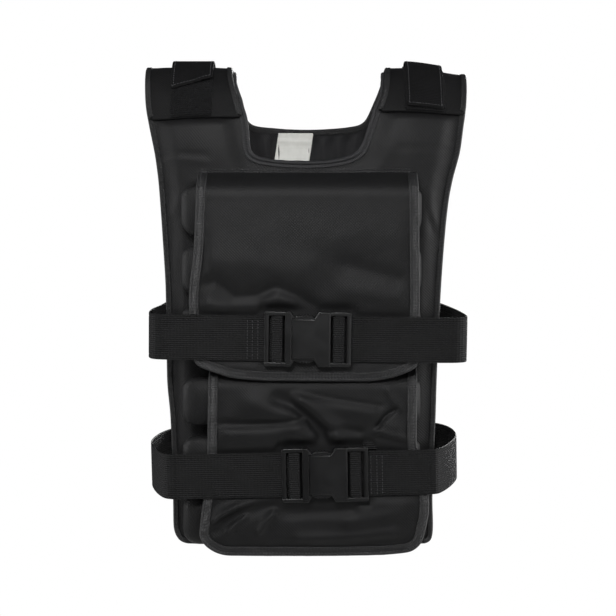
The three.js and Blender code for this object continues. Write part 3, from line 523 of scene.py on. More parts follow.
def threadMaterial(name, finish):
    # Bonded polyester thread: two plies twisted together, smooth and faintly shiny
    material, tree = startMaterial(name)
    place = addNode(tree, "ShaderNodeTexCoord").outputs["Object"]
    twist = addNode(tree, "ShaderNodeTexWave", {"Scale": 1 / (finish["twist"] * mm * 3.1), "Distortion": 1.0,
                    "bands_direction": "DIAGONAL"}, {"Vector": place})
    colour = colourBetween(tree, finish, twist.outputs[1])
    shader = addNode(tree, "ShaderNodeBsdfPrincipled", {"Roughness": 0.5, "IOR": 1.5},
                     {"Base Color": colour})
    addNode(tree, "ShaderNodeOutputMaterial", links={"Surface": shader.outputs[0]})
    return material


sewingThread = threadMaterial("bondedThread", {"twist": 0.9, "dark": "#1E1E20", "light": "#3A3A3C"})


def paintMaterial(name, colour):
    # Matt painted studio floor
    material, tree = startMaterial(name)
    grain = addNode(tree, "ShaderNodeTexNoise", {"Scale": 60.0})
    rough = addNode(tree, "ShaderNodeMapRange", {"To Min": 0.7, "To Max": 0.9}, {"Value": grain.outputs[0]})
    shader = addNode(tree, "ShaderNodeBsdfPrincipled", {"Base Color": linear(colour)},
                     {"Roughness": rough.outputs[0]})
    # The studio's own lamps light the floor far more than the ones on the vest do
    lit = addNode(tree, "ShaderNodeEmission", {"Color": linear(colour), "Strength": 0.9})
    seen = addNode(tree, "ShaderNodeLightPath").outputs["Is Camera Ray"]
    share = addNode(tree, "ShaderNodeMath", {"operation": "MULTIPLY", 1: 0.8}, {0: seen})
    both = addNode(tree, "ShaderNodeMixShader",
                   links={0: share.outputs[0], 1: shader.outputs[0], 2: lit.outputs[0]})
    addNode(tree, "ShaderNodeOutputMaterial", links={"Surface": both.outputs[0]})
    return material


print("materials made")

# Studio: the vest is held up at shoulder height, so the pale floor lies far below it. The world is white
# where the camera looks past the vest and dim where it lights it, as a dark studio with a white backdrop is.

studio = {
    "floorDrop": 1450, "floorSize": 5200, "floorColour": "#F4F4F2",
    "backdrop": 1.0, "ambient": 0.06, "ambientColour": "#F2F5FF",
    "lights": [
        {"name": "keyLight", "place": (-170, -1080, 370), "size": (260, 260), "watts": 9.5},
        {"name": "edgeStrip", "place": (0, -650, 800), "size": (700, 70), "watts": 3},
        {"name": "frontFill", "place": (700, -2100, -150), "size": (900, 900), "watts": 7},
        {"name": "leftStrip", "place": (-1500, -500, -50), "size": (400, 1300), "watts": 9},
        {"name": "rightStrip", "place": (1500, -450, -50), "size": (400, 1300), "watts": 11},
        {"name": "leftSide", "place": (-1700, 260, 0), "size": (600, 1300), "watts": 11},
        {"name": "rightSide", "place": (1700, 260, 0), "size": (600, 1300), "watts": 24},
        {"name": "backLight", "place": (500, 1900, -50), "size": (1000, 1000), "watts": 34},
    ],
    "aim": (0, 0, -260),
}
floorHalf = studio["floorSize"] / 2
floorCorners = [(-1, -1), (1, -1), (1, 1), (-1, 1)]
floorPoints = [(x * floorHalf, y * floorHalf, -studio["floorDrop"]) for x, y in floorCorners]
floorPiece = newPiece("studioFloor", floorPoints, [(0, 1, 2, 3)])
floorPiece.data.materials.append(paintMaterial("paintedFloor", studio["floorColour"]))

world = bpy.data.worlds.new("studioWorld")
world.use_nodes = True
world.node_tree.nodes.clear()
ambient = addNode(world.node_tree, "ShaderNodeBackground",
                  {"Color": linear(studio["ambientColour"]), "Strength": studio["ambient"]})
backdrop = addNode(world.node_tree, "ShaderNodeBackground",
                   {"Color": (1, 1, 1, 1), "Strength": studio["backdrop"]})
seen = addNode(world.node_tree, "ShaderNodeLightPath").outputs["Is Camera Ray"]
either = addNode(world.node_tree, "ShaderNodeMixShader",
                 links={0: seen, 1: ambient.outputs[0], 2: backdrop.outputs[0]})
addNode(world.node_tree, "ShaderNodeOutputWorld", links={"Surface": either.outputs[0]})
bpy.context.scene.world = world

for light in studio["lights"]:
    lamp = bpy.data.objects.new(light["name"], bpy.data.lights.new(light["name"], "AREA"))
    lamp.data.shape = "RECTANGLE"
    lamp.data.size = light["size"][0] * mm
    lamp.data.size_y = light["size"][1] * mm
    lamp.data.energy = light["watts"]
    lamp.location = Vector(light["place"]) * mm
    lamp.rotation_euler = (Vector(studio["aim"]) * mm - lamp.location).to_track_quat("-Z", "Y").to_euler()
    bpy.context.scene.collection.objects.link(lamp)
print("studio set")

# Sizes that several pieces share, in mm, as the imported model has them

vest = {
    "clearance": 0.3,
    "hollowDepth": 126,
    "archRise": 85,
    "shoulderHalfWidth": 180,
    "neckHalfWidth": 87,
    "frontNeckDrop": 99,
    "backNeckDrop": 62,
    "padding": 10,
    "shoulderPly": 5,
    "sideBend": 10,
    "bendStart": 110,
    "crestBend": {"left": 0, "right": 0.75},  # share of the side bend that each strap keeps at its crest
    "bendSettles": 0.75,  # share of the arch over which that bend grows to its full depth
    "lapFront": 81,
    "lapSlant": 3,
    "lapBehind": 30,
    "lapTaper": 12,
    "lapStep": 7,  # how soon the front panel is at its full thickness below the end of a lap
    "bodyDrop": 524,
    "edgeSlope": 26,  # how far in from its sewn edge a panel reaches its full thickness
}
clearance = vest["clearance"]
half = vest["hollowDepth"] / 2
archRise = vest["archRise"]
archRun = math.pi / 4 * (3 * (half + archRise) - math.sqrt((3 * half + archRise) * (half + 3 * archRise)))
lapTop = 2 * vest["shoulderPly"] + clearance
seatLift = vest["padding"] + clearance

# Outline of the panels: drop is a share of the body's height, left and right of the shoulder half width
sideEdge = table("drop left right", [
    (0, 1, 1), (0.06, 0.985, 0.985), (0.105, 0.961, 0.966), (0.163, 0.928, 0.943),
    (0.19, 0.917, 0.922), (0.222, 0.906, 0.898), (0.264, 0.897, 0.876), (0.347, 0.882, 0.852),
    (0.46, 0.866, 0.831), (0.642, 0.862, 0.81), (0.73, 0.842, 0.804), (0.906, 0.83, 0.788),
    (0.965, 0.829, 0.793), (0.985, 0.815, 0.79), (1, 0.775, 0.776),
])
# Necklines: drop is a share of the neck's own drop, left and right of the neck half width
frontNeck = table("drop left right", [
    (0, 0.966, 1.034), (0.12, 0.94, 1.015), (0.22, 0.9, 0.995), (0.38, 0.845, 0.925),
    (0.575, 0.785, 0.85), (0.68, 0.777, 0.805), (0.77, 0.768, 0.77), (0.85, 0.753, 0.72),
    (0.91, 0.7, 0.635), (0.95, 0.605, 0.525), (0.975, 0.45, 0.39), (0.993, 0.23, 0.2), (1, 0, 0),
])
backNeck = table("drop left right", [
    (0, 0.966, 1.034), (0.3, 0.9, 0.97), (0.6, 0.845, 0.88), (0.8, 0.805, 0.815), (0.89, 0.76, 0.76),
    (0.93, 0.69, 0.67), (0.965, 0.46, 0.48), (0.99, 0.23, 0.23), (1, 0, 0),
])


def bodyPoints(x, run, lift):
    # Points on the body. run is the distance from the shoulder's crest along the side profile, negative to
    # the front, and lift is measured outwards from the inner face of the panels.
    x, run, lift = np.broadcast_arrays(*[np.asarray(v, dtype=float) for v in (x, run, lift)])
    away = np.minimum(np.abs(run) / archRun, 1) * (math.pi / 2)
    side = np.where(run < 0, -1.0, 1.0)
    below = np.maximum(np.abs(run) - archRun, 0)
    outward, upward = np.sin(away) / half, np.cos(away) / archRise
    length = np.hypot(outward, upward)
    bend = vest["sideBend"] * smooth(vest["bendStart"], vest["shoulderHalfWidth"], np.abs(x))
    atCrest = np.where(x < 0, vest["crestBend"]["left"], vest["crestBend"]["right"])
    height = lift - bend * mix(atCrest, 1, smooth(0, vest["bendSettles"] * archRun, np.abs(run)))
    y = side * (half * np.sin(away) + outward / length * height)
    z = -archRise * (1 - np.cos(away)) - below + upward / length * height
    return np.stack([x, y, z], axis=-1)


def onBody(flat, lift):
    return bodyPoints(flat[:, 0], flat[:, 1], lift)


def runAt(drop):
    drop = np.asarray(drop, dtype=float)
    onArch = np.arccos(np.clip(1 - drop / archRise, -1, 1)) * archRun / (math.pi / 2)
    return np.where(drop >= archRise, archRun + drop - archRise, onArch)


def dropAt(run):
    length = np.abs(run)
    arch = archRise * (1 - np.cos(np.minimum(length / archRun, 1) * (math.pi / 2)))
    return np.where(length >= archRun, archRise + length - archRun, arch)


hemRun = float(runAt(vest["bodyDrop"]))
hands = {"left": -1, "right": 1}


def outerEdge(hand, run):
    share = dropAt(run) / vest["bodyDrop"]
    return hands[hand] * vest["shoulderHalfWidth"] * tableCurve(sideEdge, "drop", hand, share)


def innerEdge(hand, run):
    # Neckline beside the straps; the front one holds on the front of the crest, whichever panel it is
    front = tableCurve(frontNeck, "drop", hand, dropAt(run) / vest["frontNeckDrop"])
    back = tableCurve(backNeck, "drop", hand, dropAt(run) / vest["backNeckDrop"])
    return hands[hand] * vest["neckHalfWidth"] * np.where(np.asarray(run) < 0, front, back)


def neckRuns(neckDrop, sign):
    # Runs that follow a neckline down to its lowest point, close together where it turns level
    deepest = float(runAt(neckDrop))
    level = runAt(neckDrop * np.sin(np.linspace(0, math.pi / 2, 200)))
    return sign * np.unique(np.concatenate([np.linspace(0, deepest, 80), level]))


def panelOutline(sign, neckDrop, strapEnds):
    # Flat outline of a panel in (x, run), in four parts: left side, right side, and the two neckline halves
    parts = {}
    for hand in hands:
        over = -sign * np.linspace(strapEnds[hand], 0, 40)[:-1]
        down = sign * np.linspace(0, hemRun, 300)
        runs = np.concatenate([over, down])
        parts[hand + "Side"] = np.column_stack([outerEdge(hand, runs), runs])
        runs = np.concatenate([over, neckRuns(neckDrop, sign)])
        # The crest counts with the panel's own side, so that both tables meet there
        parts[hand + "Neck"] = np.column_stack([innerEdge(hand, runs + sign * 1e-6), runs])
        parts[hand + "Neck"][-1, 0] = 0
    return parts


def softened(loop, spacing, reach):
    # A closed outline with even points and its corners rounded
    loop = evenly(closedLine(loop), spacing)[:-1]
    return sum(np.roll(loop, shift, axis=0) for shift in range(-reach, reach + 1)) / (2 * reach + 1)


lapEnds = {"left": vest["lapFront"] + vest["lapSlant"], "right": vest["lapFront"] - vest["lapSlant"]}
longLap = lapEnds["left"]
panelTape = {"width": 5.2, "roll": 1.9, "gap": 0.1, "thick": 0.6, "bead": 0.25, "bare": 3.6}


def lapEndAt(x):
    return np.where(np.asarray(x) < 0, lapEnds["left"], lapEnds["right"])


def panelPlies(name, x, run):
    # Lift of a panel's inner face, and its full thickness, along the body
    run = np.asarray(run, dtype=float)
    if name == "front":
        lapped = smooth(lapEndAt(x) - 1, lapEndAt(x) + vest["lapStep"], -run)
        return np.zeros_like(run) + 0.0, mix(vest["shoulderPly"], vest["padding"], lapped)
    lapped = smooth(vest["lapBehind"] + clearance, vest["lapBehind"] + vest["lapTaper"], run)
    low = mix(vest["shoulderPly"] + clearance, 0, lapped)
    return low, mix(lapTop, vest["padding"], lapped) - low


def panelFaces(name, x, run, toEdge):
    # Lifts of a panel's two faces near its sewn edge, which is thin enough for its tape, and full inside
    low, full = panelPlies(name, x, run)
    thick = mix(panelTape["bare"], full, smooth(4.5, vest["edgeSlope"], toEdge))
    middle = low + np.where(full < 6, full, panelTape["bare"] + 1.4) / 2
    middle = mix(middle, low + full / 2, smooth(4.5, vest["edgeSlope"], toEdge))
    reach = thick / 2 * rounding(toEdge, panelTape["roll"])
    return middle - reach, middle + reach


# Creases of the front panel: lines in (x, drop), with their width and rise
panelStrokes = table("line wide rise", [
    ([(-166, 85), (-139, 86), (-108, 88)], 1.8, -1.3), ([(103, 80), (136, 79), (166, 82)], 1.8, -0.9),
    ([(-163, 90), (-139, 91), (-112, 93)], 5, 0.8),
    ([(127, 128), (130, 142), (134, 155), (141, 172)], 3, -2.2),
    ([(136, 128), (138, 145), (144, 160)], 3, 1.8),
    ([(-147, 150), (-140, 134), (-128, 122), (-114, 112)], 5, 1.6),
    ([(-60, 103), (0, 104), (70, 103)], 3, 0.7),
])


def panelRelief(name, flat, toEdge, face):
    # Soft unevenness of the filling, long folds beside the pouches and puckers where the edges are sewn
    x, run = flat[:, 0], flat[:, 1]
    drop = dropAt(run)
    free = smooth(longLap, longLap + 14, -run) if name == "front" else smooth(32, 60, run)
    soft = 1.1 * cloudy(flat, 70, 1.0) + 0.6 * cloudy(flat, 26, 2.0)
    inside = smooth(6.5, 14, toEdge)
    if face == 0:
        pleats = 1.6 * np.sin(x / 2.8 + 2 * cloudy(flat, 40, 6.0)) * smooth(140, 120, drop)
        return -(0.5 * soft + (pleats if name == "back" else 0)) * inside * free
    puckers = 0.5 * cloudy(flat, (14, 5, 5), 3.0) * smooth(34, 10, toEdge)
    beside = smooth(116, 130, np.abs(x)) * smooth(150, 220, drop)
    wander = 5 * cloudy(flat, (60, 130, 60), 4.0)
    folds = 1.5 * np.sin((np.abs(x) + wander) * 2 * math.pi / 7.5)
    folds = folds * (0.6 + 0.6 * cloudy(flat, (30, 90, 30), 5.0))
    if name == "back":
        return (soft + puckers + 0.4 * folds * beside) * inside * np.maximum(free, 0.35)
    covered = smooth(148, 128, np.abs(x)) * smooth(114, 122, drop)
    creases = relief(np.column_stack([x, drop]), panelStrokes)
    return (soft + puckers + folds * beside + creases) * inside * free * (1 - covered)


def panelPlace(name):
    def place(flat, toEdge, face):
        lift = panelFaces(name, flat[:, 0], flat[:, 1], toEdge)[face]
        return onBody(flat, lift + panelRelief(name, flat, toEdge, face))
    return place


panels = {
    "front": {"sign": -1, "neckDrop": vest["frontNeckDrop"], "cloth": oxfordCloth,
              "ends": dict.fromkeys(hands, vest["lapBehind"])},
    "back": {"sign": 1, "neckDrop": vest["backNeckDrop"], "ends": lapEnds, "cloth": strapCloth},
}
for name, panel in panels.items():
    parts = panelOutline(panel["sign"], panel["neckDrop"], panel["ends"])
    rightNeck, leftNeck = parts["rightNeck"], parts["leftNeck"][::-1]
    loop = np.vstack([parts["leftSide"], parts["rightSide"][::-1], rightNeck, leftNeck[1:]])
    panel["loop"] = softened(loop, 3.0, 2)
    piece = clothPiece(name + "PanelCloth", panel["loop"], 3.2, [0.6, 1.3, 2.4, 4.4], panelPlace(name))
    panel["piece"] = finished(piece, panel["cloth"], "woven_cloth", name + "_panel")
    # The inner face is lined
    piece.data.materials.append(liningCloth)
    count = len(piece.data.polygons)
    piece.data.polygons.foreach_set("material_index", [0] * (count // 2) + [1] * (count - count // 2))
print("panels made")

# Tape folded round the sewn edges. The ends of the straps have none, and the front neckline has its own.

def keptRuns(loop, keep):
    # Stretches of a closed outline where keep is true
    start = int(np.argmin(keep))
    loop, keep = np.roll(loop, -start, axis=0), np.roll(keep, -start)
    turns = np.flatnonzero(np.diff(np.concatenate([[0], keep.astype(int), [0]])))
    return [loop[a:b] for a, b in zip(turns[::2], turns[1::2]) if b - a > 3]


def crumpled(flat, lift):
    return onBody(flat, lift + 0.5 * cloudy(flat, (5, 7, 5), 8.0))


for name, panel in panels.items():
    loop = panel["loop"]
    ends = np.where(loop[:, 0] < 0, panel["ends"]["left"], panel["ends"]["right"])
    keep = -panel["sign"] * loop[:, 1] < ends - 1.5
    if name == "front":
        keep &= (np.abs(loop[:, 0]) > 96) | (dropAt(loop[:, 1]) > vest["frontNeckDrop"] + 4)
    side = 1 if turnsLeft(loop) else -1
    for number, part in enumerate(keptRuns(loop, keep)):
        faces = lambda i, depth, name=name, part=part: panelFaces(name, part[i, 0], part[i, 1], depth)
        piece = foldedTape("%sPanelTape%d" % (name, number + 1), part, panelTape, faces, crumpled, side)
        finished(piece, edgeTape, "binding_tape")
print("panel edges bound")

# Round binding along the front neckline

neckBinding = {"thick": 5.4, "squash": 0.94, "flange": 2.8, "tape": 0.6, "gap": 0.12, "spacing": 2.6}


def neckPath():
    runs = neckRuns(vest["frontNeckDrop"], -1)
    left = np.column_stack([innerEdge("left", runs - 1e-6), runs])
    right = np.column_stack([innerEdge("right", runs - 1e-6), runs])
    left[-1, 0] = 0
    return evenly(np.vstack([left, right[-2::-1]]), neckBinding["spacing"])


neckLine = neckPath()
neckOut = leftOf(directions(neckLine))
if neckOut[len(neckOut) // 2, 1] < 0:
    neckOut = -neckOut
neckLength = lengthAlong(neckLine)
neckTurn = np.radians(np.linspace(38, 322, 16))  # round the cord, open where the flange leaves it
neckFlange = np.linspace(neckBinding["flange"], 0.3, 4)
neckRings, neckMaps = [], []
for i, point in enumerate(neckLine):
    # Depth into the panel and lift, from the flange on the outside round the cord to the one inside
    swell = 1 + 0.05 * math.sin(neckLength[i] / 9.0) + 0.03 * math.sin(neckLength[i] / 3.1)
    radius = neckBinding["thick"] / 2 * neckBinding["squash"] * swell
    low, high = panelFaces("front", point[0], point[1], neckFlange)
    middle = (low + high)[0] / 2
    cord = np.column_stack([radius * (np.cos(neckTurn) - 1) - clearance, middle + radius * np.sin(neckTurn)])
    inside = np.column_stack([neckFlange, low])[::-1]
    curve = np.vstack([np.column_stack([neckFlange, high]), cord, inside])
    away = -leftOf(directions(curve))
    isFlange = np.ones(len(neckFlange))
    onFlange = np.concatenate([isFlange, np.zeros(len(cord)), isFlange])[:, None]
    near = curve + away * neckBinding["gap"] * onFlange
    outer = near + away * neckBinding["tape"] * onFlange
    ring = np.vstack([outer, (near - away * neckBinding["tape"] * (1 - onFlange))[::-1]])
    neckRings.append(onBody(point - neckOut[i] * ring[:, :1], ring[:, 1]))
    neckMaps.append(np.column_stack([lengthAlong(ring), np.full(len(ring), neckLength[i])]))
# The cord's tape carries a painted highlight in its lighter colours
finished(sweptPiece("neckBindingTape", neckRings, neckMaps), neckHighlightTape, "binding_tape", "neck_binding")
print("neckline bound")

# Pouches: filled bars across the front, narrower and shallower towards their ends

pouch = {
    "inset": 10, "height": 57, "pitch": 66.5, "depth": 30, "left": 138, "right": 128,
    "squareness": 0.8, "sides": 40, "spacing": 5, "slack": 0.965,
    "start": 0.9, "voxel": 5, "pressure": 4, "frames": 20, "cap": 6,  # the cloth that swells with its filling
}
pouchStations = table("across tall deep", [
    (0, 0.72, 0.5), (0.012, 0.86, 0.74), (0.035, 0.96, 0.92), (0.08, 1, 1), (0.36, 1, 0.97),
    (0.64, 1, 0.97), (0.92, 1, 1), (0.965, 0.96, 0.92), (0.988, 0.86, 0.74), (1, 0.72, 0.5),
])


def evaluatedMesh(piece):
    return bpy.data.meshes.new_from_object(piece.evaluated_get(bpy.context.evaluated_depsgraph_get()))


def inflated(piece, node, number):
    # The filling swells the pouch: cloth with pressure on an even remesh, from a slightly smaller start
    low, high = (np.array(corner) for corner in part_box(node))
    centre = (low + high) / 2
    points = meshPoints(piece.data)
    setPoints(piece.data, centre + (points - centre) * (0.99, pouch["start"], pouch["start"]))
    even = piece.modifiers.new("even", "REMESH")
    even.mode = "VOXEL"
    even.voxel_size = pouch["voxel"] * mm
    piece.data = evaluatedMesh(piece)
    piece.modifiers.clear()
    before = meshPoints(piece.data)
    cloth = piece.modifiers.new("cloth", "CLOTH")
    cloth.settings.use_pressure = True
    cloth.settings.uniform_pressure_force = pouch["pressure"]
    cloth.settings.effector_weights.gravity = 0
    for step in range(1, pouch["frames"] + 1):
        bpy.context.scene.frame_set(step)
    after = meshPoints(evaluatedMesh(piece))
    piece.modifiers.clear()
    bpy.context.scene.frame_set(1)
    move = after - before
    length = np.linalg.norm(move, axis=1)[:, None]
    after = before + move * np.minimum(1, pouch["cap"] * mm / np.maximum(length, 1e-9))
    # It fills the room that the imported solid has, and a seam draws each end into gathers
    room = (high - low) * (0.995, 0.985, 0.985)
    after = centre + (after - (after.max(axis=0) + after.min(axis=0)) / 2) * room / np.ptp(after, axis=0)
    toEnd = room[0] / 2 - np.abs(after[:, 0] - centre[0])
    angle = np.arctan2(after[:, 2] - centre[2], after[:, 1] - centre[1])
    drawn = smooth(16 * mm, 0, toEnd) * (0.06 + 0.045 * np.sin(angle * 9 + number))
    after[:, 1:] += (centre[1:] - after[:, 1:]) * drawn[:, None]
    setPoints(piece.data, after)
    layer = piece.data.attributes.new("patternMap", "FLOAT_VECTOR", "POINT")
    across = np.column_stack([after[:, 0], (after[:, 1] + after[:, 2]) * 0.7, np.zeros(len(after))])
    layer.data.foreach_set("vector", across.ravel())
    piece.data.polygons.foreach_set("use_smooth", [True] * len(piece.data.polygons))
    piece.modifiers.new("finer", "SUBSURF").levels = 1
    piece.modifiers["finer"].render_levels = 1


def pouchPiece(number, topDrop):
    middle = topDrop + pouch["height"] / 2
    width = pouch["left"] + pouch["right"]
    ends = np.array([0, 0.004, 0.012, 0.022, 0.035, 0.055])
    between = np.linspace(0.08, 0.92, int(width * 0.84 / pouch["spacing"]))
    shares = np.concatenate([ends, between, 1 - ends[::-1]])
    angles = np.linspace(0, 2 * math.pi, pouch["sides"], endpoint=False)
    squared = lambda value: np.sign(value) * np.abs(value) ** pouch["squareness"]
    tall = tableCurve(pouchStations, "across", "tall", shares) * pouch["height"] / 2
    deep = tableCurve(pouchStations, "across", "deep", shares) * pouch["depth"]
    # A seam closes each end, so the fabric draws in there in small gathers
    drawn = 1 - 0.03 * smooth(0.07, 0.0, np.minimum(shares, 1 - shares))[:, None] * (
        1 + np.sin(angles * 9 + number)[None, :])
    out = squared(np.sin(angles))
    x = np.broadcast_to((-pouch["left"] + width * shares)[:, None], drawn.shape)
    y = -(half + seatLift + 0.15 + deep[:, None] * pouch["slack"] * (1 + out * drawn) / 2)
    z = -middle + tall[:, None] * pouch["slack"] * squared(np.cos(angles)) * drawn
    rings = np.stack([x, y, z], axis=-1)
    sag = 0.7 * cloudy(rings.reshape(-1, 3), 34, number * 3.0).reshape(drawn.shape)
    rings[..., 1] += sag * 0.5
    rings[..., 2] += sag
    maps = np.stack([x, z * 0.7 + y * 0.7], axis=-1)
    piece = sweptPiece("pouch%dCloth" % number, rings, maps)
    inflated(piece, "pouch_%d" % number, number)
    finished(piece, oxfordCloth, "woven_cloth", "pouch_%d" % number)
    return piece


flapSeams = {"upper": 108, "lower": 320}
pouches = {}
for name, seamDrop in flapSeams.items():
    for row in range(3):
        number = len(pouches) + 1
        pouches[number] = pouchPiece(number, seamDrop + pouch["inset"] + row * pouch["pitch"])
print("pouches made")

# Where the belts run matters to the flaps behind them. Each side of a loop is drawn as shares: out of its
# widest reach, and back from the front of the vest to behind it.

belts = {
    "upper": {
        "drop": 286, "slope": -0.012, "centre": 2,
        "left": [(0.83, 0), (0.94, 0.02), (0.985, 0.1), (0.985, 0.3), (0.95, 0.52), (0.925, 0.76),
                 (0.915, 0.91), (0.88, 0.98), (0.78, 1)],
        "right": [(0.84, 0), (0.96, 0.02), (1.01, 0.1), (0.99, 0.36), (0.95, 0.6), (0.9, 0.84),
                  (0.85, 0.96), (0.74, 1)],
    },
    "lower": {
        "drop": 436, "slope": 0.02, "centre": 21,
        "left": [(0.83, 0), (0.9, 0.05), (0.97, 0.25), (1.01, 0.5), (0.98, 0.76), (0.9, 0.94), (0.76, 1)],
        "right": [(0.785, 0), (0.845, 0.04), (0.93, 0.25), (0.985, 0.5), (0.97, 0.76), (0.89, 0.94),
                  (0.74, 1)],
    },
}
web = {"width": 50, "thick": 1.5, "tail": 30, "corner": 1.2, "reach": 175}
buckle = {"length": 95, "outerBar": 5.3, "barWidth": 9.5, "barThick": 4.6, "slot": 4}

# Flaps over the pouches

flapSize = {
    "thick": 2, "halfWidth": 123, "shoulder": 24, "curve": 2.4, "rise": pouch["depth"] + 1 + 2 * clearance,
    "tapeStart": 1.5, "puff": 2.6, "deepest": 1.2, "stitchesAt": (2.6, 8.2),
    "tape": {"width": 9.5, "roll": 1.0, "gap": 0.12, "thick": 0.7, "bead": 0.7},
}
flaps = {
    "upper": {
        "length": 224.5, "foldScale": 1.6,
        "edge": table("down left right", [
            (0, 0.955, 0.985), (0.4, 0.985, 0.995), (0.65, 1.03, 1), (1, 0.985, 0.99),
        ]),
        "hem": table("across up", [
            (0, 0.08), (0.08, 0.046), (0.18, 0.014), (0.36, 0.002), (0.78, 0), (0.88, 0.016),
            (0.95, 0.042), (1, 0.07),
        ]),
        "strokes": table("line wide rise", [
            ([(-119, 122), (-99, 114), (-78, 132), (-53, 130), (-34, 122), (-13, 130), (7, 141)], 7, -2.5),
            ([(-41, 139), (-29, 132), (-17, 139)], 8, 2.5),
            ([(-115, 144), (-107, 141), (-91, 147)], 6, 2), ([(-99, 94), (-7, 100)], 22, 2.5),
            ([(41, 98), (69, 105), (101, 113)], 10, -1.8), ([(48, 126), (102, 133)], 12, 1.5),
            ([(-107, 210), (-72, 217), (-7, 220), (81, 218), (108, 211)], 7, 2),
            ([(-103, 209), (-87, 213), (-65, 214)], 2.5, -1.5),
            ([(50, 214), (86, 212), (105, 204)], 2.5, -1.5),
        ]),
    },
    "lower": {
        "length": 207.5, "foldScale": 2.1,
        "edge": table("down left right", [
            (0, 0.86, 0.985), (0.42, 0.872, 0.98), (0.62, 0.875, 1.08), (0.8, 0.92, 1.096),
            (1, 0.955, 1.04),
        ]),
        "hem": table("across up", [
            (0, 0.1), (0.03, 0.05), (0.07, 0.02), (0.12, 0.002), (0.5, 0), (0.8, 0.005), (0.95, 0.022),
            (1, 0.07),
        ]),
        "strokes": table("line wide rise", [
            ([(-17, 23), (28, 33), (81, 41)], 2.5, -1.2), ([(-7, 32), (32, 42), (72, 48)], 8, 1.5),
            ([(-31, 32), (-15, 38), (0, 51), (15, 67), (20, 83)], 6, -4),
            ([(-7, 36), (13, 48), (31, 66), (37, 84)], 9, 3),
            ([(-56, 37), (-28, 48), (-9, 61)], 14, 3),
            ([(-103, 60), (-72, 61), (-39, 60), (-7, 56)], 4, -2.5),
            ([(-92, 72), (-56, 73), (-15, 71), (2, 77)], 8, 1.5),
            ([(-100, 87), (-61, 84), (-23, 82)], 4, 1), ([(99, 44), (87, 52), (79, 63)], 2.5, -2.5),
            ([(90, 22), (96, 35), (103, 43)], 4, 1.5), ([(78, 68), (92, 73), (110, 76)], 3, 2),
            ([(81, 74), (94, 78), (110, 82)], 3, -1.5), ([(90, 63), (105, 67)], 10, 1.5),
            ([(21, 67), (43, 66), (59, 69)], 4, -1.5),
            ([(-113, 181), (-108, 173), (-94, 162), (-77, 152), (-60, 146), (-42, 143)], 4, 3.5),
            ([(-101, 179), (-88, 169), (-69, 159), (-45, 152), (-7, 153)], 8, -2.5),
            ([(-50, 179), (-44, 168), (-36, 159)], 4, 2.5),
            ([(-86, 180), (-77, 171), (-66, 164)], 3, 1.5),
            ([(-108, 157), (-101, 152), (-92, 147)], 3, -1.5),
            ([(-20, 159), (15, 157), (51, 156)], 7, -2), ([(-7, 189), (43, 187), (95, 181)], 6, 1.2),
            ([(-73, 197), (-40, 198), (-1, 197)], 5, -1), ([(48, 169), (79, 164), (101, 160)], 8, 1.2),
            ([(59, 194), (87, 192), (109, 190)], 4, -1),
        ]),
    },
}

# Arc length down a flap against its drop, since it rises steeply from its seam
flapDowns = np.linspace(0, flapSize["shoulder"], 120)
flapSlopes = (flapSize["rise"] * flapSize["curve"] / flapSize["shoulder"]
              * (1 - flapDowns / flapSize["shoulder"]) ** (flapSize["curve"] - 1))
flapSteps = np.hypot(1, (flapSlopes[1:] + flapSlopes[:-1]) / 2) * np.diff(flapDowns)
flapArcs = np.concatenate([[0], np.cumsum(flapSteps)])
flapSpare = flapArcs[-1] - flapSize["shoulder"]  # how much longer the cloth is than its drop


def arcAt(down):
    down = np.asarray(down, dtype=float)
    return np.where(down > flapSize["shoulder"], down + flapSpare, np.interp(down, flapDowns, flapArcs))


def downAt(arc):
    arc = np.asarray(arc, dtype=float)
    return np.where(arc > flapArcs[-1], arc - flapSpare, np.interp(arc, flapArcs, flapDowns))


def flapRelief(flap, flat):
    x, down = flat[:, 0], downAt(flat[:, 1])
    drop = flap["seamDrop"] + down
    free = smooth(8, 34, down)
    for belt in belts.values():
        off = np.abs(drop - belt["drop"] + belt["slope"] * (x - belt["centre"]))
        covered = web["width"] / 2 + 6 * smooth(56, 50, np.abs(x - belt["centre"]))
        free = free * smooth(covered, covered + 11, off)
    folds = relief(np.column_stack([x, down]), flap["strokes"])
    soft = 0.9 + 0.8 * cloudy(flat, 40, flap["seed"]) + 0.5 * cloudy(flat, 16, flap["seed"] + 1)
    toEdge = distanceTo(flat, flap["bound"])
    puckers = 0.7 * cloudy(flat, (9, 9, 9), flap["seed"] + 2) * smooth(26, 10, toEdge)
    height = flap["foldScale"] * folds + (soft + flapSize["puff"]) * smooth(20, 70, down)
    # A dent stops at the pouches behind the flap
    floor = flapSize["deepest"]
    height = np.where(height < 0, -floor * (1 - np.exp(np.minimum(height, 0) / floor)), height)
    return (height * (0.3 + 0.7 * smooth(6, 22, toEdge)) + puckers) * free


def flapPlace(flap):
    def place(flat, lift):
        x, down = flat[:, 0], downAt(flat[:, 1])
        share = np.clip(down / flapSize["shoulder"], 0, 1)
        rise = flapSize["rise"] * (1 - (1 - share) ** flapSize["curve"])
        slope = flapSize["rise"] * flapSize["curve"] / flapSize["shoulder"]
        slope = slope * (1 - share) ** (flapSize["curve"] - 1)
        length = np.hypot(slope, 1)
        height = seatLift + rise + lift / length + flapRelief(flap, flat)
        return np.column_stack([x, -(half + height), -(flap["seamDrop"] + down - slope / length * lift)])
    return place


def flapLifts(depth):
    reach = flapSize["thick"] / 2 * rounding(depth, flapSize["tape"]["roll"])
    return flapSize["thick"] / 2 - reach, flapSize["thick"] / 2 + reach


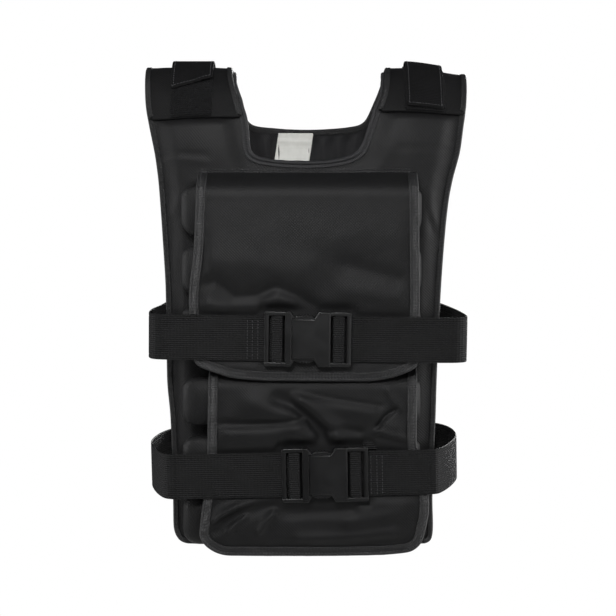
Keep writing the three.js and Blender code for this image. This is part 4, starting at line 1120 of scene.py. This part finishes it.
stitchRows = []
for number, (name, flap) in enumerate(flaps.items()):
    flap["seamDrop"] = flapSeams[name]
    flap["seed"] = 11.0 + 4 * number
    shares = np.linspace(0, 1, 120)
    columns = np.linspace(0, 1, 140)
    sides = {}
    for hand, across in (("left", 0), ("right", 1)):
        x = hands[hand] * tableCurve(flap["edge"], "down", hand, shares) * flapSize["halfWidth"]
        up = tableCurve(flap["hem"], "across", "up", across)
        sides[hand] = np.column_stack([x, arcAt(shares * (1 - up) * flap["length"])])
    ends = sides["left"][-1, 0], sides["right"][-1, 0]
    ups = tableCurve(flap["hem"], "across", "up", columns)
    hem = np.column_stack([mix(*ends, columns), arcAt((1 - ups) * flap["length"])])
    loop = np.vstack([sides["left"], hem[1:-1], sides["right"][::-1]])
    bound = evenly(loop, 3.0)
    smoothed = bound.copy()
    for _ in range(4):
        smoothed[1:-1] = (smoothed[:-2] + 2 * smoothed[1:-1] + smoothed[2:]) / 4
    flap["bound"] = smoothed
    place = flapPlace(flap)
    cloth = clothPiece(
        name + "FlapCloth", smoothed, 2.8, [0.35, 0.9, 2.2],
        lambda flat, toEdge, face: place(flat, flapLifts(toEdge)[face]))
    finished(cloth, oxfordCloth, "woven_cloth", name + "_flap")
    taped = smoothed[smoothed[:, 1] > flapSize["tapeStart"]]
    lifts = lambda i, depth: flapLifts(depth)
    tape = foldedTape(name + "FlapTape", taped, flapSize["tape"], lifts, place, -1)
    finished(tape, grosgrainTape, "binding_tape", name + "_flap_binding")
    loop = closedLine(smoothed)
    flat = tuple(float(v) * mm for v in smoothed.max(axis=0) - smoothed.min(axis=0))
    top = flapSize["thick"] + flapSize["tape"]["gap"] + flapSize["tape"]["thick"]
    for depth in flapSize["stitchesAt"]:
        stitchRows.append(seamLine(place, besidePath(taped, depth, -1), top))
print("flaps made")

# Two rows of stitches on the panel above the upper flap's seam
chestSeam = {"drops": (102.5, 105.5), "from": -114, "to": 117, "points": 80, "lift": 0.2}
for drop in chestSeam["drops"]:
    across = np.linspace(chestSeam["from"], chestSeam["to"], chestSeam["points"])
    line = np.column_stack([across, np.full(chestSeam["points"], -float(runAt(drop)))])
    stitchRows.append(seamLine(onBody, line, vest["padding"] + chestSeam["lift"]))

# Shoulder closures: a loop patch on each lap, and the tab that lies over it

closures = {
    "left": {"middle": 0.448, "width": 1.022, "outerEnd": 0.654, "innerEnd": 0.531, "curl": 3.5},
    "right": {"middle": 0.467, "width": 0.913, "outerEnd": 0.926, "innerEnd": 0.914, "curl": 0.6},
}
closureSize = {"patch": 46, "patchThick": 1, "inset": 1, "tabThick": 2.6, "behind": 44, "off": 3}
patchTop = lapTop + clearance + closureSize["patchThick"]
for hand, closure in closures.items():
    way = hands[hand]
    strap = abs(float(innerEdge(hand, 0.0))), abs(float(outerEdge(hand, 0.0)))
    middle = mix(*strap, closure["middle"])

    def stripLoop(width, outerEnd, innerEnd):
        inner, outer = way * (middle - width / 2), way * (middle + width / 2)
        corners = [(inner, closureSize["behind"]), (inner, -innerEnd), (outer, -outerEnd),
                   (outer, closureSize["behind"])]
        return softened(np.array(corners, dtype=float), 1.5, 1)

    patchEnd = lapEnds[hand] - closureSize["inset"]
    patch = clothPiece(
        hand + "ShoulderPatch", stripLoop(closureSize["patch"], patchEnd, patchEnd), 2.5, [0.4],
        lambda flat, toEdge, face: onBody(
            flat, lapTop + clearance + face * closureSize["patchThick"] * rounding(toEdge, 0.8)))
    finished(patch, loopPile, "loop_pile", "shoulder_patch_" + hand)
    tabEnds = closure["outerEnd"] * vest["lapFront"], closure["innerEnd"] * vest["lapFront"]

    def tabLift(flat, lift):
        arch = np.minimum(np.abs(flat[:, 1]) / closureSize["behind"], 1) * (math.pi / 2)
        off = closureSize["off"] * np.cos(arch) ** 2
        nearEnd = smooth(-tabEnds[1] + 16, -tabEnds[1] - 2, flat[:, 1])
        inner = smooth(4, -closureSize["patch"] / 2, way * flat[:, 0] - middle)
        return onBody(flat, patchTop + clearance + off + closure["curl"] * nearEnd * inner + lift)

    tabLoop = stripLoop(closure["width"] * closureSize["patch"], *tabEnds)
    tabHalf = closureSize["tabThick"] / 2
    tab = clothPiece(
        hand + "ShoulderTab", tabLoop, 2.2, [0.3, 0.8, 1.6],
        lambda flat, toEdge, face: tabLift(
            flat, tabHalf + (2 * face - 1) * tabHalf * rounding(toEdge, 1.2)))
    finished(tab, tabWebbing, "belt_webbing", "shoulder_tab_" + hand)
    shape = tabLoop if turnsLeft(tabLoop) else tabLoop[::-1]
    inset = besidePath(shape, 3.2, 1, True)
    for row in keptRuns(inset, inset[:, 1] < 30):
        stitchRows.append(seamLine(tabLift, row, closureSize["tabThick"] + 0.1))
print("shoulder closures made")

# Blank care label inside the back neckline

label = {"width": 41, "length": 44, "lean": 7, "offset": -12, "seam": 2, "thick": 0.5}
labelTop = float(runAt(vest["backNeckDrop"])) + label["seam"]
labelLoop = np.array([
    (label["offset"] - label["width"] / 2, labelTop), (label["offset"] + label["width"] / 2, labelTop),
    (label["offset"] + label["width"] / 2 - label["lean"], labelTop + label["length"]),
    (label["offset"] - label["width"] / 2 - label["lean"], labelTop + label["length"]),
])


def labelPlace(flat, toEdge, face):
    down = (flat[:, 1] - labelTop) / label["length"]
    across = (flat[:, 0] - label["offset"] + label["lean"] * down) / (label["width"] / 2)
    curl = 1.6 * smooth(0.3, 1, down) * (0.5 + 0.5 * across) + 0.3 * np.sin(across * 3 + 1) * down
    curl += 0.9 * np.exp(-((down - 0.2 - 0.02 * across) / 0.035) ** 2) + 0.5 * cloudy(flat, 11, 21.0) * down
    return onBody(flat, -0.75 - curl - (1 - face) * label["thick"])


careLabel = clothPiece("careLabel", labelLoop, 2.0, [0.4], labelPlace)
finished(careLabel, labelSatin, "label_cloth", "care_label")
print("label made")


# Belts

def filleted(points, radius, steps=6):
    # Polyline with its corners rounded by short curves
    path = [points[0]]
    for before, corner, after in zip(points[:-2], points[1:-1], points[2:]):
        start = corner + (before - corner) / np.linalg.norm(before - corner) * radius
        end = corner + (after - corner) / np.linalg.norm(after - corner) * radius
        for t in np.linspace(0, 1, steps):
            path.append((1 - t) ** 2 * start + 2 * t * (1 - t) * corner + t * t * end)
    return np.array(path + [points[-1]])


def splineThrough(points, steps):
    # Smooth curve through all the points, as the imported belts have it
    out = []
    for t in np.linspace(0, 1, steps + 1) * (len(points) - 1):
        i = min(int(t), len(points) - 2)
        w = t - i
        a, b, c, d = (points[min(max(i + k, 0), len(points) - 1)] for k in (-1, 0, 1, 2))
        v0, v1 = (c - a) * 0.5, (d - b) * 0.5
        out.append((2 * b - 2 * c + v0 + v1) * w ** 3 + (-3 * b + 3 * c - 2 * v0 - v1) * w ** 2 + v0 * w + b)
    return np.array(out)


flapFront = -(half + seatLift + flapSize["rise"] + flapSize["thick"])
webFirst = flapFront - clearance - web["thick"] / 2
webFront = webFirst - web["thick"] - clearance
webBack = half + vest["padding"] + clearance + web["thick"] / 2
buckleBack = flapFront - clearance
barBack = 2 * web["thick"] + 2 * clearance


def webAtBuckle(centre, side):
    end = buckle["length"] / 2
    beyondBar = buckle["outerBar"] + buckle["slot"] + buckle["barWidth"] + clearance + web["thick"] / 2
    beforeBar = buckle["outerBar"] + buckle["slot"] - clearance - web["thick"] / 2
    overBar = buckleBack - barBack - buckle["barThick"] - clearance - web["thick"] / 2
    places = [(-web["tail"], webFirst), (beyondBar, webFirst), (beyondBar, overBar), (beforeBar, overBar),
              (beforeBar, webFront), (-web["tail"], webFront)]
    corners = [np.array((centre + side * (end - inward), y)) for inward, y in places]
    return filleted(corners, web["corner"])


def finer(path, longest):
    out = [path[0]]
    for a, b in zip(path[:-1], path[1:]):
        parts = max(1, int(math.ceil(np.linalg.norm(b - a) / longest)))
        out += [a + (b - a) * (k + 1) / parts for k in range(parts)]
    return np.array(out)


# Half a cross section of the webbing: distance across from the middle, and half thickness there
webSection = table("across half", [
    (0, 0.75), (6, 0.75), (12, 0.75), (18, 0.75), (20.2, 0.72), (21.2, 0.55), (22.2, 0.72), (24, 0.75),
    (24.7, 0.55), (25, 0.2),
])

for name, belt in belts.items():
    loops = []
    for hand, side in hands.items():
        points = []
        for out, back in belt[hand]:
            points.append(np.array((side * out * web["reach"], mix(webFront, webBack, back))))
        loops.append(splineThrough(points, 60))
    path = np.vstack([
        webAtBuckle(belt["centre"], -1), loops[0], loops[1][::-1], webAtBuckle(belt["centre"], 1)[::-1]])
    path = finer(path, 4.0)
    ahead = np.diff(path, axis=0)
    ahead /= np.linalg.norm(ahead, axis=1)[:, None]
    before, after = np.vstack([ahead[:1], ahead]), np.vstack([ahead, ahead[-1:]])
    way = before + after
    way /= np.linalg.norm(way, axis=1)[:, None]
    reach = np.minimum(1 / np.maximum((way * after).sum(axis=1), 0.1), 1.43)
    reach[0] = reach[-1] = 1
    beside = leftOf(way) * reach[:, None]
    ups = [row["across"] for row in webSection]
    halves = [row["half"] for row in webSection]
    section = [(h, u) for u, h in zip(ups, halves)]
    section += [(-h, u) for u, h in zip(ups[::-1], halves[::-1])]
    section += [(-h, -u) for u, h in zip(ups[1:], halves[1:])]
    section += [(h, -u) for u, h in zip(ups[:0:-1], halves[:0:-1])]
    section = np.array(section)
    length = lengthAlong(path)
    rings, maps = [], []
    for i in range(len(path)):
        flat = path[i] + beside[i] * section[:, :1]
        up = section[:, 1]
        z = -belt["drop"] + belt["slope"] * (flat[:, 0] - belt["centre"]) + up
        rings.append(np.column_stack([flat[:, 0] - belt["slope"] * up, flat[:, 1], z]))
        maps.append(np.column_stack([np.full(len(up), length[i]), up]))
    piece = sweptPiece(name + "BeltWebbing", rings, maps)
    finished(piece, beltWebbing, "belt_webbing", name + "_belt")
print("belts made")

# Loose end of the lower belt's webbing, turned up behind it beside the buckle

looseEnd = {"width": 16, "height": 20, "gap": 1.5}
endX = belts["lower"]["centre"] + buckle["length"] / 2 + looseEnd["gap"]
endZ = (-belts["lower"]["drop"] + belts["lower"]["slope"] * (endX - belts["lower"]["centre"])
        + web["width"] / 2 + 2 * clearance + looseEnd["height"] / 2)
endLoop = np.array([(-0.5, -0.5), (0.5, -0.5), (0.5, 0.5), (-0.5, 0.5)])
endLoop = endLoop * (looseEnd["width"], looseEnd["height"])


def loosePlace(flat, toEdge, face):
    y = webFirst + (0.5 - face) * web["thick"] * rounding(toEdge, 0.7)
    return np.column_stack([endX + flat[:, 0], y, endZ + flat[:, 1]])


loosePiece = clothPiece("lowerBeltLooseEnd", endLoop, 1.6, [0.3], loosePlace)
finished(loosePiece, beltWebbing, "belt_webbing", "lower_belt_end")

# Buckles

# Plates are drawn in the buckle's own frame: place from the outer end of the male half, up from the middle,
# and heights in front of the back face. The lower half of each outline mirrors the upper one.

moulding = {
    "front": 11, "barHalf": 27, "barBack": 3.6, "barFront": 8.2, "outerBarFront": 9.0, "barRound": 1.3,
    "railEnd": 24, "railBack": 3.0, "railFront": 9.2, "tieHalf": 1.2, "tieBack": 3.2, "tieFront": 9.0,
    "tieRound": 0.6, "recess": 0.7, "round": 1.0, "floor": 22, "latch": 25.5, "ridges": 4, "ridgePitch": 3.2,
    "sharpAngle": 35,
}


def mirroredLine(upper):
    return [(place, -up) for place, up in upper] + upper[::-1]


def edgedPlate(outline, low, high, bevel):
    loop = np.array(outline, dtype=float)
    loop = loop if turnsLeft(loop) else loop[::-1]
    ahead = np.roll(loop, -1, axis=0) - loop
    ahead /= np.linalg.norm(ahead, axis=1)[:, None]
    before = np.roll(ahead, 1, axis=0)
    inward = np.stack([-(ahead + before)[:, 1], (ahead + before)[:, 0]], axis=1)
    inward /= 1 + (ahead * before).sum(axis=1)[:, None]
    turns = np.radians([0, 30, 60, 90]) if bevel else [math.pi / 2]
    levels = [(bevel * (1 - math.sin(t)), low + bevel * (1 - math.cos(t))) for t in turns]
    levels += [(inset, low + high - level) for inset, level in reversed(levels)]
    rings = []
    for inset, level in levels:
        flat = loop + inward * inset
        x = flat[:, 0] - buckle["length"] / 2
        rings.append(np.column_stack([x, np.full(len(flat), -level), flat[:, 1]]))
    return sweptPiece("plate", rings)


def mouldedPart(plates, cuts):
    # One shell from plates that are joined, less the ones that are cut out
    parts = [edgedPlate(*plate) for plate in plates + cuts]
    body = parts[0]
    for i, part in enumerate(parts[1:], 1):
        step = body.modifiers.new("step%d" % i, "BOOLEAN")
        step.operation = "UNION" if i < len(plates) else "DIFFERENCE"
        step.solver = "EXACT"
        step.object = part
    mesh = evaluatedMesh(body)
    for part in parts:
        bpy.data.objects.remove(part)
    return mesh


def slottedEnd(turned):
    # Frame with two bars that the webbing is threaded over, and the tie that joins it to the housing
    end, wide = moulding["railEnd"], moulding["barHalf"]
    rail = [(end, 25.6), (end, 30), (2.4, 30), (0.8, 29.3), (0, 27.8), (0, 25.6)]
    outer = mirroredLine([(0, wide), (buckle["outerBar"], wide)])
    start = buckle["outerBar"] + buckle["slot"]
    middle = mirroredLine([(start, wide), (start + buckle["barWidth"], wide)])
    tie = mirroredLine([(end - moulding["tieHalf"], 29), (end + moulding["tieHalf"], 29)])
    railHeights = moulding["railBack"], moulding["railFront"], moulding["round"]
    shapes = [
        (rail, *railHeights),
        ([(place, -up) for place, up in rail], *railHeights),
        (outer, moulding["barBack"], moulding["outerBarFront"], moulding["barRound"]),
        (middle, moulding["barBack"], moulding["barFront"], moulding["barRound"]),
        (tie, moulding["tieBack"], moulding["tieFront"], moulding["tieRound"]),
    ]
    if turned:
        shapes = [([(buckle["length"] - place, up) for place, up in line], *rest) for line, *rest in shapes]
    return shapes


front, floorUp = moulding["front"], moulding["floor"]
recess = front - moulding["recess"]
maleCollar = mirroredLine([(22.8, 30), (28.6, 30), (33.4, 22.7), (29.8, 22.7)])
malePlates = [(maleCollar, 0, front, 0.8)] + slottedEnd(False)
for side in (1, -1):
    arm = [(29, 16), (29, 21.7), (36.8, moulding["latch"]), (51, moulding["latch"]), (57, 21.7), (57, 16)]
    malePlates.append(([(place, side * up) for place, up in arm], 2.7, 8.3, 0.6))
    for i in range(moulding["ridges"]):
        first = 38.5 + moulding["ridgePitch"] * i
        ridge = [(first, 24), (first, 26.4), (first + 1.6, 26.4), (first + 1.6, 24)]
        malePlates.append(([(place, side * up) for place, up in ridge], 2.2, 8.8, 0.4))
maleCuts = [(mirroredLine([(24.6, 27.6), (27.6, 27.6), (28.4, 26.2)]), recess, front + 1, 0)]
shell = mirroredLine([(30.1, floorUp), (54, floorUp), (59, 30), (72.2, 30)])
inner = mirroredLine([(32.4, 19.7), (55.2, 19.7), (60.2, 27.7), (69.9, 27.7)])
femalePlates = [(shell, 0, front, moulding["round"])] + slottedEnd(True)
femaleCuts = [(inner, recess, front + 1, 0), (mirroredLine([(29.1, 25.2), (63, 25.2)]), 2.4, 8.6, 0)]
halves = {"male": mouldedPart(malePlates, maleCuts), "female": mouldedPart(femalePlates, femaleCuts)}
for name, belt in belts.items():
    place = Matrix.Translation(Vector((belt["centre"], buckleBack, -belt["drop"])) * mm)
    place = place @ Matrix.Rotation(-math.atan(belt["slope"]), 4, "Y")
    for kind, mesh in halves.items():
        mesh = mesh.copy()
        mesh.transform(place)
        mesh.set_sharp_from_angle(angle=math.radians(moulding["sharpAngle"]))
        piece = bpy.data.objects.new("%sBuckle%s" % (name, kind.title()), mesh)
        bpy.context.scene.collection.objects.link(piece)
        piece.modifiers.new("normals", "WEIGHTED_NORMAL").keep_sharp = True
        finished(piece, mouldedAcetal, "buckle_plastic", "%s_buckle_%s" % (name, kind))
print("buckles made")

# Bar tacks that hold the webbing beside the upper buckle's left end and the lower one's right end
barTacks = {"upper": (-64, -58.5, -52.5), "lower": (71.5, 78, 84), "half": 22, "points": 14, "lift": 0.1}
for name, belt in belts.items():
    for x in barTacks[name]:
        up = np.linspace(-barTacks["half"], barTacks["half"], barTacks["points"])
        y = np.full(len(up), webFront - web["thick"] / 2 - barTacks["lift"])
        z = -belt["drop"] + belt["slope"] * (x - belt["centre"]) + up
        line = np.column_stack([x - belt["slope"] * up, y, z])
        stitchRows.append((line, np.tile((0.0, -1.0, 0.0), (len(up), 1))))

stitching("sewnRows", stitchRows)
print("stitches sewn")
